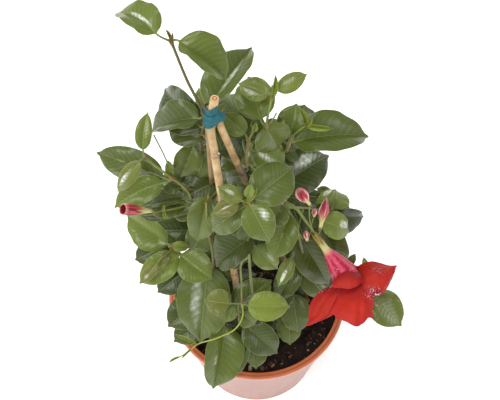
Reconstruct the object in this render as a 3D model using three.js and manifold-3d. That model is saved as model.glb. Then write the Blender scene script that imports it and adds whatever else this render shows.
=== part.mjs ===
// A potted mandevilla: a twining plant with glossy leaves, one open red trumpet flower and several buds, grown on a
// tripod of bamboo canes tied with tape, in a round plastic pot of potting soil.
// Millimetres, +Z up, origin at the centre of the pot's flat underside; the plant's front faces -Y.

import * as THREE from "three";
import { mergeVertices } from "three/addons/utils/BufferGeometryUtils.js";
import Module from "manifold-3d";

// Driving dimensions of the pot and its soil
const POT_HEIGHT = 130;
const LIP_RADIUS = 88;
const LIP_WIDTH = 4.5;
const LIP_DROP = 7;
const LIP_STEP = 3.4;
const FOOT_RADIUS = 61;
const WALL = 2.2;
const FLOOR = 3;
const DRAIN_RADIUS = 5;
const DRAIN_RING = 40;
const DRAIN_HOLES = 6;
const SOIL_TOP = 114;
const SOIL_RELIEF = 2.2;
const SOIL_EDGE = 4;
const CLEARANCE = 0.3;

// The plant is set out on a drawing of its front, seen from above at DRAWING_TILT from a point DRAWING_DISTANCE away.
// The drawing is at life size where it meets the middle of the pot's lip, which it shows at LIP_ACROSS, LIP_DOWN.
const DRAWING_TILT = THREE.MathUtils.degToRad(61);
const DRAWING_DISTANCE = 1250;
const DRAWING_CENTRE_ACROSS = 250;
const DRAWING_CENTRE_DOWN = 200;
const LIP_ACROSS = 257;
const LIP_DOWN = 296;

// Blades
const BLADE_THICKNESS = 0.9;
const RIB_DEPTH = 0.5;
const STALK_RADIUS = 0.95;
const STEM_STEP = 30;
const STEM_TAPER = 0.35;
const STANDING_ABOVE = 12;
const EDGE_WAVE = 0.035;
const TIP_START = 0.94;
const TIP_WIDTH = 0.13;

const UP = new THREE.Vector3(0, 0, 1);
const SIGHT = new THREE.Vector3(0, -Math.cos(DRAWING_TILT), Math.sin(DRAWING_TILT));

// A real place, from where the drawing shows it and its height above the table.
function at(across, down, height) {
  const right = (across - DRAWING_CENTRE_ACROSS) / DRAWING_DISTANCE;
  const rise = (DRAWING_CENTRE_DOWN - down) / DRAWING_DISTANCE;
  const above = height - POT_HEIGHT;
  const sin = Math.sin(DRAWING_TILT);
  const cos = Math.cos(DRAWING_TILT);
  const lipRise = DRAWING_CENTRE_DOWN - LIP_DOWN;
  const y = (rise * DRAWING_DISTANCE - lipRise - above * (cos + rise * sin)) / (sin - rise * cos);
  const depth = DRAWING_DISTANCE + y * cos - above * sin;
  return new THREE.Vector3(right * depth - (LIP_ACROSS - DRAWING_CENTRE_ACROSS), y, height);
}

function xyz(x, y, z) {
  return new THREE.Vector3(x, y, z);
}

// The canes' bundle at the tie: each cane runs straight from the soil to the tie, and upright through it.
const TIE_FOOT = xyz(-36.5, -1, 444);
const TIE_LEAN = xyz(2.8, 2.8, 38).normalize();
const CANES = [
  { name: "cane_front", foot: xyz(-8, -45, 62), beside: xyz(0, 0, 0), radius: 3.5, footRadius: 3, above: 39 },
  { name: "cane_right", foot: xyz(52, 20, 62), beside: xyz(5.8, 4.2, 0), radius: 2.9, footRadius: 3.1, above: 18 },
  { name: "cane_left", foot: xyz(-38, 40, 62), beside: xyz(-3.8, 5.6, 0), radius: 2.4, footRadius: 2.6, above: 22 },
];
const TAPE_FROM = 4.5;
const TAPE_TO = 24;
const TAPE_THICKNESS = 0.8;
const TAPE_CLEARANCE = 0.5;

// A leaf: where its stalk leaves the stem, where its blade starts, its tip, its width, how far the blade is turned
// about its midrib from facing the front of the drawing, and how far each half is folded up from flat (degrees).
function leaf(joint, base, tip, width, turn, fold, bow = 0.1) {
  return { joint: at(...joint), base: at(...base), tip: at(...tip), width, turn, fold, bow };
}

function backLeaf(joint, base, tip, width, turn, fold, bow = 0.14) {
  return { joint: xyz(...joint), base: xyz(...base), tip: xyz(...tip), width, turn, fold, bow };
}

// A closed young leaf or bract: a slim spindle from its foot to its point.
function spear(foot, point, width) {
  return { foot: at(...foot), point: at(...point), width };
}

const LEAFY_STEMS = [
  {
    name: "leafy_stem_left_back",
    routes: [
      { radius: 1.9, points: [xyz(-54, 44, 92), xyz(-54, 38, 200), xyz(-51, 32, 300), xyz(-47.5, 23, 390),
        at(203, 113, 448), at(186, 80, 478), at(171, 41, 500)] },
      { radius: 0.9, points: [at(203, 114, 446), at(213, 113, 442), at(222, 111, 440), at(231, 89, 455)] },
    ],
    leaves: [
      leaf([171, 41, 500], [158, 32.5, 504], [118.5, 13, 482], 32, 12, 24),
      leaf([171, 41, 500], [179, 41, 501], [228, 80, 470], 38, -34, 26),
      leaf([203, 113, 448], [215, 101, 449], [252, 48, 445], 44, -33, 30),
      leaf([203, 117, 444], [199, 119, 444], [151.5, 133, 400], 44, 44, 33),
      leaf([204, 124, 430], [201, 117, 426], [166, 95, 403], 37, -25, 20),
      leaf([204, 137, 403], [203, 136, 403], [168, 108, 385], 46, 0, 18),
      leaf([203, 148, 378], [195, 149, 366], [180, 177, 336], 24, -10, 15),
      leaf([203, 148, 372], [204, 150, 358], [192, 177, 332], 26, 0, 15),
      backLeaf([-53, 37, 224], [-58, 46, 225], [-84, 92, 206], 36, 0, 14),
      backLeaf([-54, 38, 195], [-64, 40, 196], [-112, 48, 180], 36, 0, 14),
      backLeaf([-52, 35, 235], [-48, 46, 236], [-30, 100, 214], 38, 0, 14),
    ],
    spears: [spear([171, 41, 500], [165.5, 29, 508], 2.4), spear([171.5, 41, 500], [172.5, 32.5, 507], 2)],
  },
  {
    name: "leafy_stem_back",
    routes: [
      { radius: 1.8, points: [xyz(20, 56, 92), xyz(12, 50, 220), xyz(-2, 34, 320), at(246, 159, 385),
        at(249, 140, 402), at(253, 131, 408)] },
    ],
    leaves: [
      leaf([248.5, 142, 400], [244, 134, 404], [223, 112, 413], 25, 0, 14),
      leaf([248.5, 145, 397], [246, 136, 388], [226, 94, 380], 38, -10, 16),
      leaf([247, 153, 390], [256, 143, 369], [285, 164.5, 344], 22, 0, 14),
      leaf([246, 163, 380], [240, 169, 356], [224, 160, 348], 15, 0, 16),
      backLeaf([4, 42, 280], [2, 52, 282], [-14, 104, 262], 38, 0, 14),
      backLeaf([8, 46, 250], [16, 56, 251], [44, 104, 226], 38, 0, 14),
      backLeaf([14, 52, 190], [8, 64, 190], [-8, 116, 168], 38, 0, 14),
    ],
    spears: [spear([253, 131, 408], [256, 122, 418], 4), spear([252.5, 132, 407], [250.5, 124, 414], 3)],
  },
  {
    name: "leafy_stem_back_right",
    routes: [
      { radius: 1.9, points: [xyz(54, 46, 92), xyz(52, 48, 200), xyz(38, 50, 280), xyz(24, 46, 340), xyz(13, 37, 380),
        at(266.5, 126, 405), at(272, 97, 420)] },
      { radius: 1.7, points: [xyz(26, 46.6, 336), at(287, 150, 362), at(293, 136, 375), at(306, 125, 385)] },
      { radius: 0.6, points: [at(267.5, 126, 404), at(272, 121, 406), at(276.5, 113, 412)] },
    ],
    leaves: [
      leaf([272, 97, 420], [269, 94.5, 421], [238, 81, 412], 19, 0, 20),
      leaf([266.5, 127, 404.5], [262, 118, 403], [246, 77, 397], 37, 0, 12),
      leaf([272, 97, 420], [277, 91.5, 421], [307.5, 74.5, 424], 15.5, 10, 18),
      leaf([266.5, 128, 403], [268, 129, 402], [278, 147, 370], 28, 0, 14),
      leaf([289, 145, 366], [289, 134, 374], [296.5, 104, 390], 24, 0, 12),
      leaf([291, 140, 370], [299, 130, 368], [304.5, 104.5, 372], 26, 0, 12),
      leaf([291, 140, 370], [297, 140.5, 371], [368, 137.5, 350], 45, -26, 26),
      backLeaf([51, 48, 196], [60, 54, 196], [92, 84, 174], 38, 0, 14),
      backLeaf([45, 49, 236], [55, 48, 236], [98, 34, 216], 34, 0, 14),
      backLeaf([30, 48, 316], [34, 58, 316], [50, 98, 292], 32, 0, 14),
    ],
    spears: [
      spear([273, 97, 420], [275.5, 74.5, 440], 4.4),
      spear([272, 97, 420], [271.5, 83.5, 433], 2.2),
      spear([306, 125, 385], [299, 107.5, 398], 4.6),
      spear([306, 125, 385], [312, 117, 394], 4.2),
      spear([306, 125, 385], [333.5, 128.5, 386], 4.6),
    ],
  },
  {
    name: "leafy_stem_left",
    routes: [
      { radius: 1.9, points: [xyz(-58, -4, 92), xyz(-62, -4, 200), xyz(-60, 0, 280), at(192, 201, 322),
        at(186, 189, 340), at(165, 173, 358), at(145, 158.5, 370)] },
      { radius: 1.4, points: [xyz(-61.5, -3, 236), at(180, 254, 257), at(169, 246, 266)] },
      { radius: 0.6, points: [at(178, 184, 347), at(171, 174, 354), at(166, 160.5, 362), at(152.3, 134.5, 376)] },
      { radius: 1.1, points: [at(192, 203, 318), at(176, 208.5, 321), at(159, 211.5, 325)] },
    ],
    leaves: [
      leaf([145, 158.5, 370], [142.5, 150, 373], [148, 111.5, 395], 13.5, 0, 24),
      leaf([145, 158.5, 370], [139.5, 161, 371], [118, 193, 336], 17, 0, 20),
      leaf([168, 176, 355], [162, 178, 338], [96, 152.5, 325], 31, 0, 15),
      leaf([173, 178, 352], [171, 177, 352], [168, 160, 361], 8, 0, 16),
      leaf([173, 179, 352], [163, 183, 338], [115, 208, 312], 24, 0, 14),
      leaf([192, 203, 318], [186, 204, 308], [150, 209, 292], 30, 20, 20),
      leaf([170, 246.7, 265], [166.5, 243.5, 266], [127.5, 215, 262], 30, -5, 16),
      leaf([170, 246.7, 265], [172, 246, 267], [190, 246.5, 262], 10, 0, 16),
      leaf([180, 254, 257], [177, 256, 258], [141, 281, 238], 21, 0, 16),
      leaf([173, 249, 262], [159, 260, 264], [140.5, 285.5, 246], 13, 0, 24),
      leaf([172, 248, 263], [168.5, 253, 264], [160, 264, 256], 9, 0, 24),
      leaf([180, 254, 257], [181, 256, 258], [212, 278.5, 254], 29, 0, 18),
      leaf([188, 248, 240], [165, 246, 232], [135, 260, 218], 25, 0, 14),
      leaf([190, 262, 222], [186, 270, 220], [157.5, 292.5, 204], 26, 0, 14),
      backLeaf([-62, -3, 222], [-72, 0, 223], [-116, 22, 208], 34, 0, 14),
    ],
    spears: [
      spear([162, 210.5, 324], [164, 204, 332], 2.4),
      spear([164, 210.5, 323.6], [167, 219, 316], 2.6),
    ],
  },
  {
    name: "leafy_stem_front_left",
    routes: [
      { radius: 1.8, points: [xyz(-38, -38, 92), xyz(-44, -32, 180), at(213, 257, 258), xyz(-44, -15, 300),
        xyz(-44, -11, 345)] },
    ],
    leaves: [
      leaf([213, 262, 246], [212, 264, 241], [200.5, 342, 168], 54, 12, 20, 0.08),
      leaf([208, 203, 330], [206, 199, 334], [197, 242, 288], 23, 0, 18),
      leaf([207, 188, 343], [214, 180.5, 351], [183, 193, 347], 20, 10, 16),
      leaf([210, 230, 286], [206, 227, 280], [192, 252, 250], 26, 0, 14),
      leaf([213, 296, 212], [200, 298, 206], [168.6, 327.4, 180], 32, 0, 16),
      leaf([214, 310, 190], [204, 318, 180], [175.3, 342, 158], 26, 0, 14),
    ],
    spears: [],
  },
  {
    name: "leafy_stem_front",
    routes: [
      { radius: 2, points: [xyz(4, -54, 92), xyz(-1, -49, 180), xyz(-6, -42, 250), xyz(-8, -36, 300),
        at(247, 203, 365)] },
      { radius: 1.4, points: [xyz(-7.4, -37, 293), at(241.5, 263, 280), at(241.5, 283, 256), at(241.5, 302.5, 232)] },
      { radius: 0.75, points: [at(241.5, 302.5, 232), at(243, 313, 224), at(241, 321, 217), at(234, 330, 209),
        at(222, 336, 206), at(213, 339.5, 203), at(198, 344, 198), at(188, 352, 190), at(170, 361.5, 178)] },
    ],
    leaves: [
      leaf([246.5, 204, 364], [244, 207, 363], [212, 231, 330], 27, 10, 15),
      leaf([247, 203, 366], [243.5, 204.5, 369], [213.5, 212, 362], 13, 0, 24),
      leaf([247.5, 204, 365], [250, 206, 367], [269.7, 241, 338], 29, 0, 13),
      leaf([247, 204, 362], [245, 200, 369], [228, 191, 377], 13, 0, 20),
      leaf([247, 203, 366], [247.5, 198, 371], [251.5, 184, 384], 9, 0, 20),
      leaf([248, 203, 365], [253, 199, 368], [293, 167, 362], 37, 0, 13),
      leaf([250, 243, 312], [250, 237, 318], [216.5, 266, 286], 35, 0, 14),
      leaf([250, 252, 301], [255, 247, 298], [277.7, 268.5, 268], 20, 0, 18),
      leaf([251, 311, 200], [233, 307, 208], [272, 280, 224], 30, 0, 14),
      leaf([241.5, 302.5, 232], [247.5, 305, 231], [290, 306.5, 220], 28, 0, 10),
      leaf([241.5, 302.5, 232], [230, 303.5, 238], [204.5, 300, 240], 25, 0, 14),
      leaf([241, 302, 233], [235, 306, 233], [226, 322, 228], 12, 0, 14),
      leaf([243, 300, 232], [241, 312, 216], [254.5, 325, 200], 19, 0, 16),
      leaf([253, 318, 188], [245, 324, 184], [277.4, 353.4, 152], 31, 0, 16),
      leaf([250, 318, 188], [224, 325, 178], [212.7, 388.5, 128], 43, -22, 24, 0.16),
      leaf([252, 322, 182], [247, 334, 168], [235.5, 376, 138], 22, 20, 18),
      leaf([253, 322, 182], [255, 336, 160], [256, 369, 137], 22, -10, 18),
    ],
    spears: [
      spear([247, 203, 366], [258, 187.5, 382], 2.4),
      spear([248, 203, 366], [252, 190, 380], 2),
      spear([192, 348.5, 193.5], [181.5, 359, 185], 2),
      spear([197, 344.5, 197.4], [174, 334, 202], 2.6),
    ],
  },
  {
    name: "leafy_stem_right",
    routes: [
      { radius: 2.1, points: [xyz(50, -10, 92), xyz(46, -10, 200), xyz(34, -7, 290), at(284.5, 202, 330),
        at(281, 192, 340)] },
      { radius: 1.9, points: [at(284.5, 202, 330), at(295.5, 208, 326), at(305, 220, 311), at(313, 231, 297),
        at(315.4, 235, 293)] },
      { radius: 1.3, points: [at(286, 206, 322), at(306, 208, 300), at(320, 210, 284), at(331, 210, 280)] },
      { radius: 1.5, points: [xyz(46, -10, 186), xyz(66, -18, 186), xyz(88, -26, 194), xyz(98, -29, 198)] },
      { radius: 0.8, points: [at(312, 229.5, 299), at(309.5, 218, 307), at(309.5, 206, 318)] },
      { radius: 0.8, points: [at(313.5, 231.5, 296.5), at(318, 234, 296), at(320, 231, 299)] },
      { radius: 0.6, points: [at(312, 229.5, 299), at(308.5, 238, 292), at(308.3, 241, 292)] },
      { radius: 0.6, points: [at(310.5, 222, 303), at(313.4, 218, 308)] },
    ],
    leaves: [
      leaf([281, 192, 340], [284, 187, 338], [329, 156, 320], 38, 0, 14),
      leaf([285, 204, 326], [287, 212, 320], [274, 259, 292], 30, 0, 15),
      leaf([284, 202, 331], [281, 204, 334], [271, 227, 318], 23, 0, 15),
      leaf([296, 238, 264], [299, 234, 256], [328, 282, 200], 36, 0, 16),
      leaf([297, 232, 272], [313, 227, 250], [347, 274, 196], 34, 0, 14),
      leaf([320, 210, 284], [324, 213, 282], [348.5, 233, 262], 23, 0, 16),
      leaf([320, 210, 284], [326, 208, 268], [364, 216, 236], 32, 0, 14),
      leaf([331, 210, 280], [332, 209, 278], [335, 190, 262], 30, 0, 22),
      leaf([297, 254, 246], [292, 258, 246], [278, 287, 224], 14, 0, 20),
      leaf([298, 262, 232], [296, 264, 226], [277, 300, 200], 24, 0, 14),
      leaf([299, 262, 232], [302, 268, 216], [328, 299, 182], 25, 0, 14),
      leaf([371, 292, 200], [374, 296, 199], [404.6, 318.8, 184], 32, 0, 10),
    ],
    spears: [
      spear([366, 290, 199], [363, 262, 214], 4.5),
      spear([370, 292, 199], [376, 308, 196], 4),
    ],
  },
  {
    name: "leafy_stem_front_right",
    routes: [{ radius: 1.7, points: [xyz(26, -34, 92), xyz(30, -33, 150), xyz(33, -26, 194)] }],
    leaves: [
      leaf([292, 293, 192], [293, 294, 191], [298, 333, 160], 29, 0, 15),
      leaf([292, 306, 174], [288, 310, 168], [290, 345, 144], 25, 0, 15),
    ],
    spears: [],
  },
];

// The flower: a trumpet from its neck to its mouth, its profile in steps of [distance from the neck, radius], with
// five lobes: where each stands round the mouth, and how far it is flared out from the trumpet's axis (degrees).
const BLOOM_NECK = at(316.4, 236.8, 291.5);
const BLOOM_AXIS = xyz(0.517, -0.307, -0.799).normalize();
const BLOOM_PROFILE = [[0, 2.6], [16, 2.8], [22, 4.4], [32, 8], [44, 11], [56, 13]];
const BLOOM_WALL = 0.8;
const BLOOM_SIDES = 16;
const LOBE_LENGTH = 43;
const LOBE_WIDTH = 44;
const LOBE_FOOT = 0.36;
const LOBE_SWAY = 7;
const LOBE_ARCH = 2.5;
const LOBE_CURL = 3;
const LOBES = [
  { round: 0, flare: 72 }, { round: 70, flare: 72 }, { round: 149, flare: 74 }, { round: 218, flare: 44 },
  { round: 290, flare: 38 },
];

// Buds: the foot of each on its stalk, its tip, and the radius along its length.
const BUDS = [
  { name: "bud_round", foot: at(309.3, 205, 318.9), tip: at(299.5, 188.5, 331),
    profile: [[0, 1.1], [0.3, 1.6], [0.5, 4.2], [0.72, 5.6], [0.9, 4.2], [1, 1]] },
  { name: "bud_pointed", foot: at(320.3, 230.4, 299.8), tip: at(327, 197.5, 318),
    profile: [[0, 1.4], [0.28, 1.8], [0.45, 3.4], [0.62, 4.3], [0.8, 3], [1, 0.3]] },
  { name: "bud_low", foot: at(307.3, 241.6, 293), tip: at(305.6, 231, 300),
    profile: [[0, 0.9], [0.35, 1.8], [0.6, 2.9], [0.85, 2.4], [1, 0.6]] },
  { name: "bud_small", foot: at(313.8, 217.3, 309.2), tip: at(315, 209, 316),
    profile: [[0, 0.8], [0.35, 1.8], [0.6, 2.7], [0.85, 2.2], [1, 0.6]] },
  { name: "bud_left", foot: at(158, 211.6, 325.4), tip: at(121.5, 209.3, 340),
    profile: [[0, 1.2], [0.35, 1.8], [0.6, 3.3], [0.85, 4.3], [1, 4.2]] },
];

const COLOURS = {
  pot: 0xd0765a, soil: 0x2a1d16, cane: 0xcfa978, tape: 0x2a8a8f, leaf: 0x5c7a34, bloom: 0xcf2a27, bud: 0xc4345a,
};

const wasm = await Module();
wasm.setup();

// A closed mesh as a manifold-3d solid, and back.
function solidOf(geometry) {
  const bare = geometry.index ? geometry.toNonIndexed() : geometry.clone();
  bare.deleteAttribute("normal");
  bare.deleteAttribute("uv");
  const merged = mergeVertices(bare, 1e-4);
  const vertProperties = new Float32Array(merged.attributes.position.array);
  const triVerts = new Uint32Array(merged.index.array);
  return new wasm.Manifold(new wasm.Mesh({ numProp: 3, vertProperties, triVerts }));
}

function geometryOf(solid) {
  const mesh = solid.getMesh();
  const geometry = new THREE.BufferGeometry();
  geometry.setAttribute("position", new THREE.BufferAttribute(mesh.vertProperties, 3));
  geometry.setIndex(new THREE.BufferAttribute(mesh.triVerts, 1));
  const faceted = geometry.toNonIndexed();
  faceted.computeVertexNormals();
  return faceted;
}

function fuse(geometries) {
  return geometries.map(solidOf).reduce((whole, piece) => whole.add(piece));
}

// A closed skin over rings of equally many points, each going round clockwise as seen from the next ring on.
// The first half of a ring is a blade's upper face, and the faces below are split along the same diagonals.
function skin(rings) {
  const sides = rings[0].length;
  const positions = [];
  const face = (...corners) => corners.forEach((corner) => positions.push(corner.x, corner.y, corner.z));
  for (let i = 0; i + 1 < rings.length; i++) {
    for (let j = 0; j < sides; j++) {
      const next = (j + 1) % sides;
      const [a, b, c, d] = [rings[i][j], rings[i][next], rings[i + 1][next], rings[i + 1][j]];
      if (j < sides / 2) {
        face(a, b, c);
        face(a, c, d);
      } else {
        face(a, b, d);
        face(b, c, d);
      }
    }
  }
  const last = rings[rings.length - 1];
  for (let j = 0; j + 1 < sides / 2; j++) {
    const opposite = sides - 1 - j;
    face(rings[0][j], rings[0][opposite], rings[0][opposite - 1]);
    face(rings[0][j], rings[0][opposite - 1], rings[0][j + 1]);
    face(last[j], last[opposite - 1], last[opposite]);
    face(last[j], last[j + 1], last[opposite - 1]);
  }
  return new THREE.BufferGeometry().setAttribute("position", new THREE.Float32BufferAttribute(positions, 3));
}

// A round piece along a curve, with a radius for each of its stations.
function rod(curve, radii, sides) {
  const steps = radii.length - 1;
  let across = Math.abs(curve.getTangent(0).z) > 0.9 ? xyz(1, 0, 0) : xyz(0, 0, 1);
  const rings = radii.map((radius, i) => {
    const tangent = curve.getTangent(i / steps);
    across = across.clone().addScaledVector(tangent, -across.dot(tangent)).normalize();
    const other = new THREE.Vector3().crossVectors(tangent, across);
    const centre = curve.getPoint(i / steps);
    return Array.from({ length: sides }, (_, j) => {
      const angle = (2 * Math.PI * j) / sides;
      return centre.clone().addScaledVector(across, radius * Math.cos(angle))
        .addScaledVector(other, radius * Math.sin(angle));
    });
  });
  return skin(rings);
}

// Half the width of a blade along its length, as a share of its widest: oval, drawn out to a short drip tip.
function ovate(s) {
  const share = Math.min(s / TIP_START, 1);
  const oval = (4 * share * (1 - share)) ** 0.62;
  return Math.max(oval, s < 0.5 ? 0.05 : TIP_WIDTH * (1 - s) / (1 - TIP_START));
}

function bladeStations(width) {
  if (width < 16) return [0, 0.25, 0.72, 1];
  return width < 33 ? [0, 0.14, 0.46, 0.82, 1] : [0, 0.1, 0.33, 0.64, 0.87, 1];
}

// One leaf: its stalk, and its blade folded along the midrib, bowed lengthwise and waved along its edges.
function blade({ joint, base, tip, width, turn, fold, bow }) {
  const along = tip.clone().sub(base);
  const length = along.length();
  along.normalize();
  const facing = SIGHT.clone().addScaledVector(along, -SIGHT.dot(along)).normalize();
  facing.applyAxisAngle(along, THREE.MathUtils.degToRad(turn));
  const crest = base.clone().lerp(tip, 0.5).addScaledVector(facing, 2 * bow * length);
  const start = crest.clone().sub(base).normalize();
  const stalk = base.distanceTo(joint);
  const bend = base.clone().addScaledVector(start, -0.5 * stalk);
  const stalkCurve = new THREE.QuadraticBezierCurve3(joint, bend, base);
  const bladeCurve = new THREE.QuadraticBezierCurve3(base, crest, tip);
  const ring = (centre, tangent, half, tilt, thickness, rib, wave) => {
    const normal = facing.clone().addScaledVector(tangent, -facing.dot(tangent)).normalize();
    const side = new THREE.Vector3().crossVectors(tangent, normal);
    const place = (share, lift) => centre.clone().addScaledVector(side, share * half * Math.cos(tilt))
      .addScaledVector(normal, Math.abs(share) * half * Math.sin(tilt) + lift);
    const up = thickness / 2;
    return [
      place(-1, up + wave), place(0, up), place(1, up - wave),
      place(1, -up - wave), place(0, -up - rib), place(-1, -up + wave),
    ];
  };
  const rings = [0, 0.5].slice(0, stalk > 14 ? 2 : 1).map((q) =>
    ring(stalkCurve.getPoint(q), stalkCurve.getTangent(q), STALK_RADIUS, 0, 1.5 * STALK_RADIUS, 0.2, 0));
  bladeStations(width).forEach((s) => {
    const half = Math.max((ovate(s) * width) / 2, s < 0.05 ? STALK_RADIUS : 0.3);
    const wave = EDGE_WAVE * width * Math.sin(13 * s + joint.x) * Math.sin(Math.PI * s);
    const tilt = THREE.MathUtils.degToRad(fold) * Math.min(1, 6 * s);
    const rib = RIB_DEPTH * (1 - s);
    rings.push(ring(bladeCurve.getPoint(s), bladeCurve.getTangent(s), half, tilt, BLADE_THICKNESS, rib, wave));
  });
  return skin(rings);
}

function spindle({ foot, point, width }) {
  const curve = new THREE.LineCurve3(foot, point);
  return rod(curve, [0.3, 0.5, 0.42, 0.08].map((share) => share * width), 4);
}

// The place on the centrelines of a plant's stems that is nearest to a given one.
function rooted(place, centrelines) {
  let nearest = place;
  let least = Infinity;
  centrelines.forEach((line) => line.slice(1).forEach((end, i) => {
    const spot = new THREE.Line3(line[i], end).closestPointToPoint(place, true, new THREE.Vector3());
    if (spot.distanceTo(place) < least) {
      least = spot.distanceTo(place);
      nearest = spot;
    }
  }));
  return nearest;
}

// Where a stem that stands at foot comes out of the soil on its way to the next place.
function onSoil(foot, next) {
  return foot.clone().lerp(next, (SOIL_TOP + STANDING_ABOVE - foot.z) / (next.z - foot.z));
}

// The stems of one plant, each side stem rooted in an earlier one, and the stalks and shoots rooted in them.
function leafyPieces({ routes, leaves, spears }) {
  const centrelines = [];
  const stems = routes.map(({ points: [first, ...rest], radius }) => {
    const start = centrelines.length ? [rooted(first, centrelines)] : [first, onSoil(first, rest[0])];
    const curve = new THREE.CatmullRomCurve3([...start, ...rest], false, "centripetal");
    const steps = Math.max(2, Math.round(curve.getLength() / STEM_STEP));
    centrelines.push(curve.getPoints(steps));
    const radii = Array.from({ length: steps + 1 }, (_, i) => radius * (1 - (STEM_TAPER * i) / steps));
    return rod(curve, radii, radius > 1 ? 6 : 4);
  });
  const blades = leaves.map((one) => blade({ ...one, joint: rooted(one.joint, centrelines) }));
  const shoots = spears.map((one) => spindle({ ...one, foot: rooted(one.foot, centrelines) }));
  return { stems, blades, shoots };
}

// A round solid turned about +Z, from its profile of [radius, height] points.
function turned(profile, segments) {
  const points = profile.map(([radius, height]) => new THREE.Vector2(radius, height));
  return new THREE.LatheGeometry(points, segments).rotateX(Math.PI / 2);
}

function disc(radius, from, to, x, y, sides = 16) {
  const geometry = new THREE.CylinderGeometry(radius, radius, to - from, sides).rotateX(Math.PI / 2);
  return geometry.translate(x, y, (from + to) / 2);
}

// The pot: a tapered wall under a rolled, stepped lip, and a floor with drain holes round its middle.
function pot() {
  const shoulder = LIP_RADIUS - LIP_STEP;
  const profile = [
    [0, 0], [FOOT_RADIUS - 1.5, 0], [FOOT_RADIUS, 1.5], [shoulder, POT_HEIGHT - LIP_DROP],
    [LIP_RADIUS - 1, POT_HEIGHT - LIP_DROP], [LIP_RADIUS - 0.6, POT_HEIGHT - 3.6], [LIP_RADIUS, POT_HEIGHT - 3.2],
    [LIP_RADIUS, POT_HEIGHT - 1], [LIP_RADIUS - 1, POT_HEIGHT], [LIP_RADIUS - LIP_WIDTH + 1, POT_HEIGHT],
    [LIP_RADIUS - LIP_WIDTH, POT_HEIGHT - 1], [shoulder - WALL, POT_HEIGHT - LIP_DROP],
    [FOOT_RADIUS - WALL, FLOOR + 1], [FOOT_RADIUS - WALL - 1, FLOOR], [0, FLOOR],
  ];
  let whole = solidOf(turned(profile, 40));
  for (let i = 0; i < DRAIN_HOLES; i++) {
    const angle = (2 * Math.PI * i) / DRAIN_HOLES;
    const hole = disc(DRAIN_RADIUS, -1, FLOOR + 1, DRAIN_RING * Math.cos(angle), DRAIN_RING * Math.sin(angle), 10);
    whole = whole.subtract(solidOf(hole));
  }
  return whole;
}

function innerRadius(height) {
  const foot = FOOT_RADIUS - WALL;
  const shoulder = LIP_RADIUS - LIP_STEP - WALL;
  return foot + ((shoulder - foot) * (height - FLOOR)) / (POT_HEIGHT - LIP_DROP - FLOOR) - 3 * CLEARANCE;
}

// The soil fills the pot to SOIL_TOP. Its surface is heaped by a formula, and every stem and cane stands in a hole.
function soil(standing) {
  const rings = 4;
  const segments = 26;
  const relief = (x, y) => {
    const heaps = Math.sin(x * 0.21 + 1) * Math.cos(y * 0.17);
    return SOIL_RELIEF * (heaps + 0.5 * Math.sin(x * 0.4 - y * 0.33));
  };
  const floor = FLOOR + CLEARANCE;
  const foot = innerRadius(FLOOR) - 1.4;
  const edge = innerRadius(SOIL_TOP - SOIL_EDGE);
  const circle = (radius, height) => Array.from({ length: segments }, (_, j) => {
    const angle = (2 * Math.PI * j) / segments;
    const x = radius * Math.cos(angle);
    const y = radius * Math.sin(angle);
    return xyz(x, y, height(x, y));
  });
  const heaped = (x, y) => SOIL_TOP + relief(x, y);
  const sections = [circle(foot, () => floor), circle(edge, () => SOIL_TOP - SOIL_EDGE)];
  for (let i = rings; i > 0; i--) sections.push(circle(((edge - 1.2) * i) / rings, heaped));
  const positions = [];
  const face = (a, b, c) => [a, b, c].forEach((corner) => positions.push(corner.x, corner.y, corner.z));
  sections.slice(1).forEach((upper, i) => upper.forEach((corner, j) => {
    const next = (j + 1) % segments;
    face(sections[i][j], sections[i][next], upper[next]);
    face(sections[i][j], upper[next], corner);
  }));
  const middle = xyz(0, 0, heaped(0, 0));
  const bottom = xyz(0, 0, floor);
  for (let j = 0; j < segments; j++) {
    const next = (j + 1) % segments;
    face(bottom, sections[0][next], sections[0][j]);
    face(sections[sections.length - 1][j], sections[sections.length - 1][next], middle);
  }
  const heap = new THREE.BufferGeometry().setAttribute("position", new THREE.Float32BufferAttribute(positions, 3));
  return standing.reduce((whole, hole) => whole.subtract(solidOf(hole)), solidOf(heap));
}

// A plain round hole in the soil along the lowest stretch of a stem or cane.
function hole(foot, next, radius) {
  const along = next.clone().sub(foot).normalize();
  const from = foot.clone().addScaledVector(along, -CLEARANCE);
  const to = foot.clone().addScaledVector(along, (SOIL_TOP + 3 * SOIL_RELIEF - foot.z) / along.z);
  return rod(new THREE.LineCurve3(from, to), [radius, radius], 8);
}

function caneCurve({ foot, beside, above }) {
  const tie = TIE_FOOT.clone().add(beside);
  return new THREE.CatmullRomCurve3([foot, foot.clone().lerp(tie, 0.5), foot.clone().lerp(tie, 0.93),
    tie.clone().addScaledVector(TIE_LEAN, 4), tie.clone().addScaledVector(TIE_LEAN, above)], false, "centripetal");
}

function cane(one) {
  const steps = 9;
  const radii = Array.from({ length: steps + 1 }, (_, i) => {
    const share = i / steps;
    return THREE.MathUtils.lerp(one.footRadius, one.radius, share);
  });
  return solidOf(rod(caneCurve(one), radii, 8));
}

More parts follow.
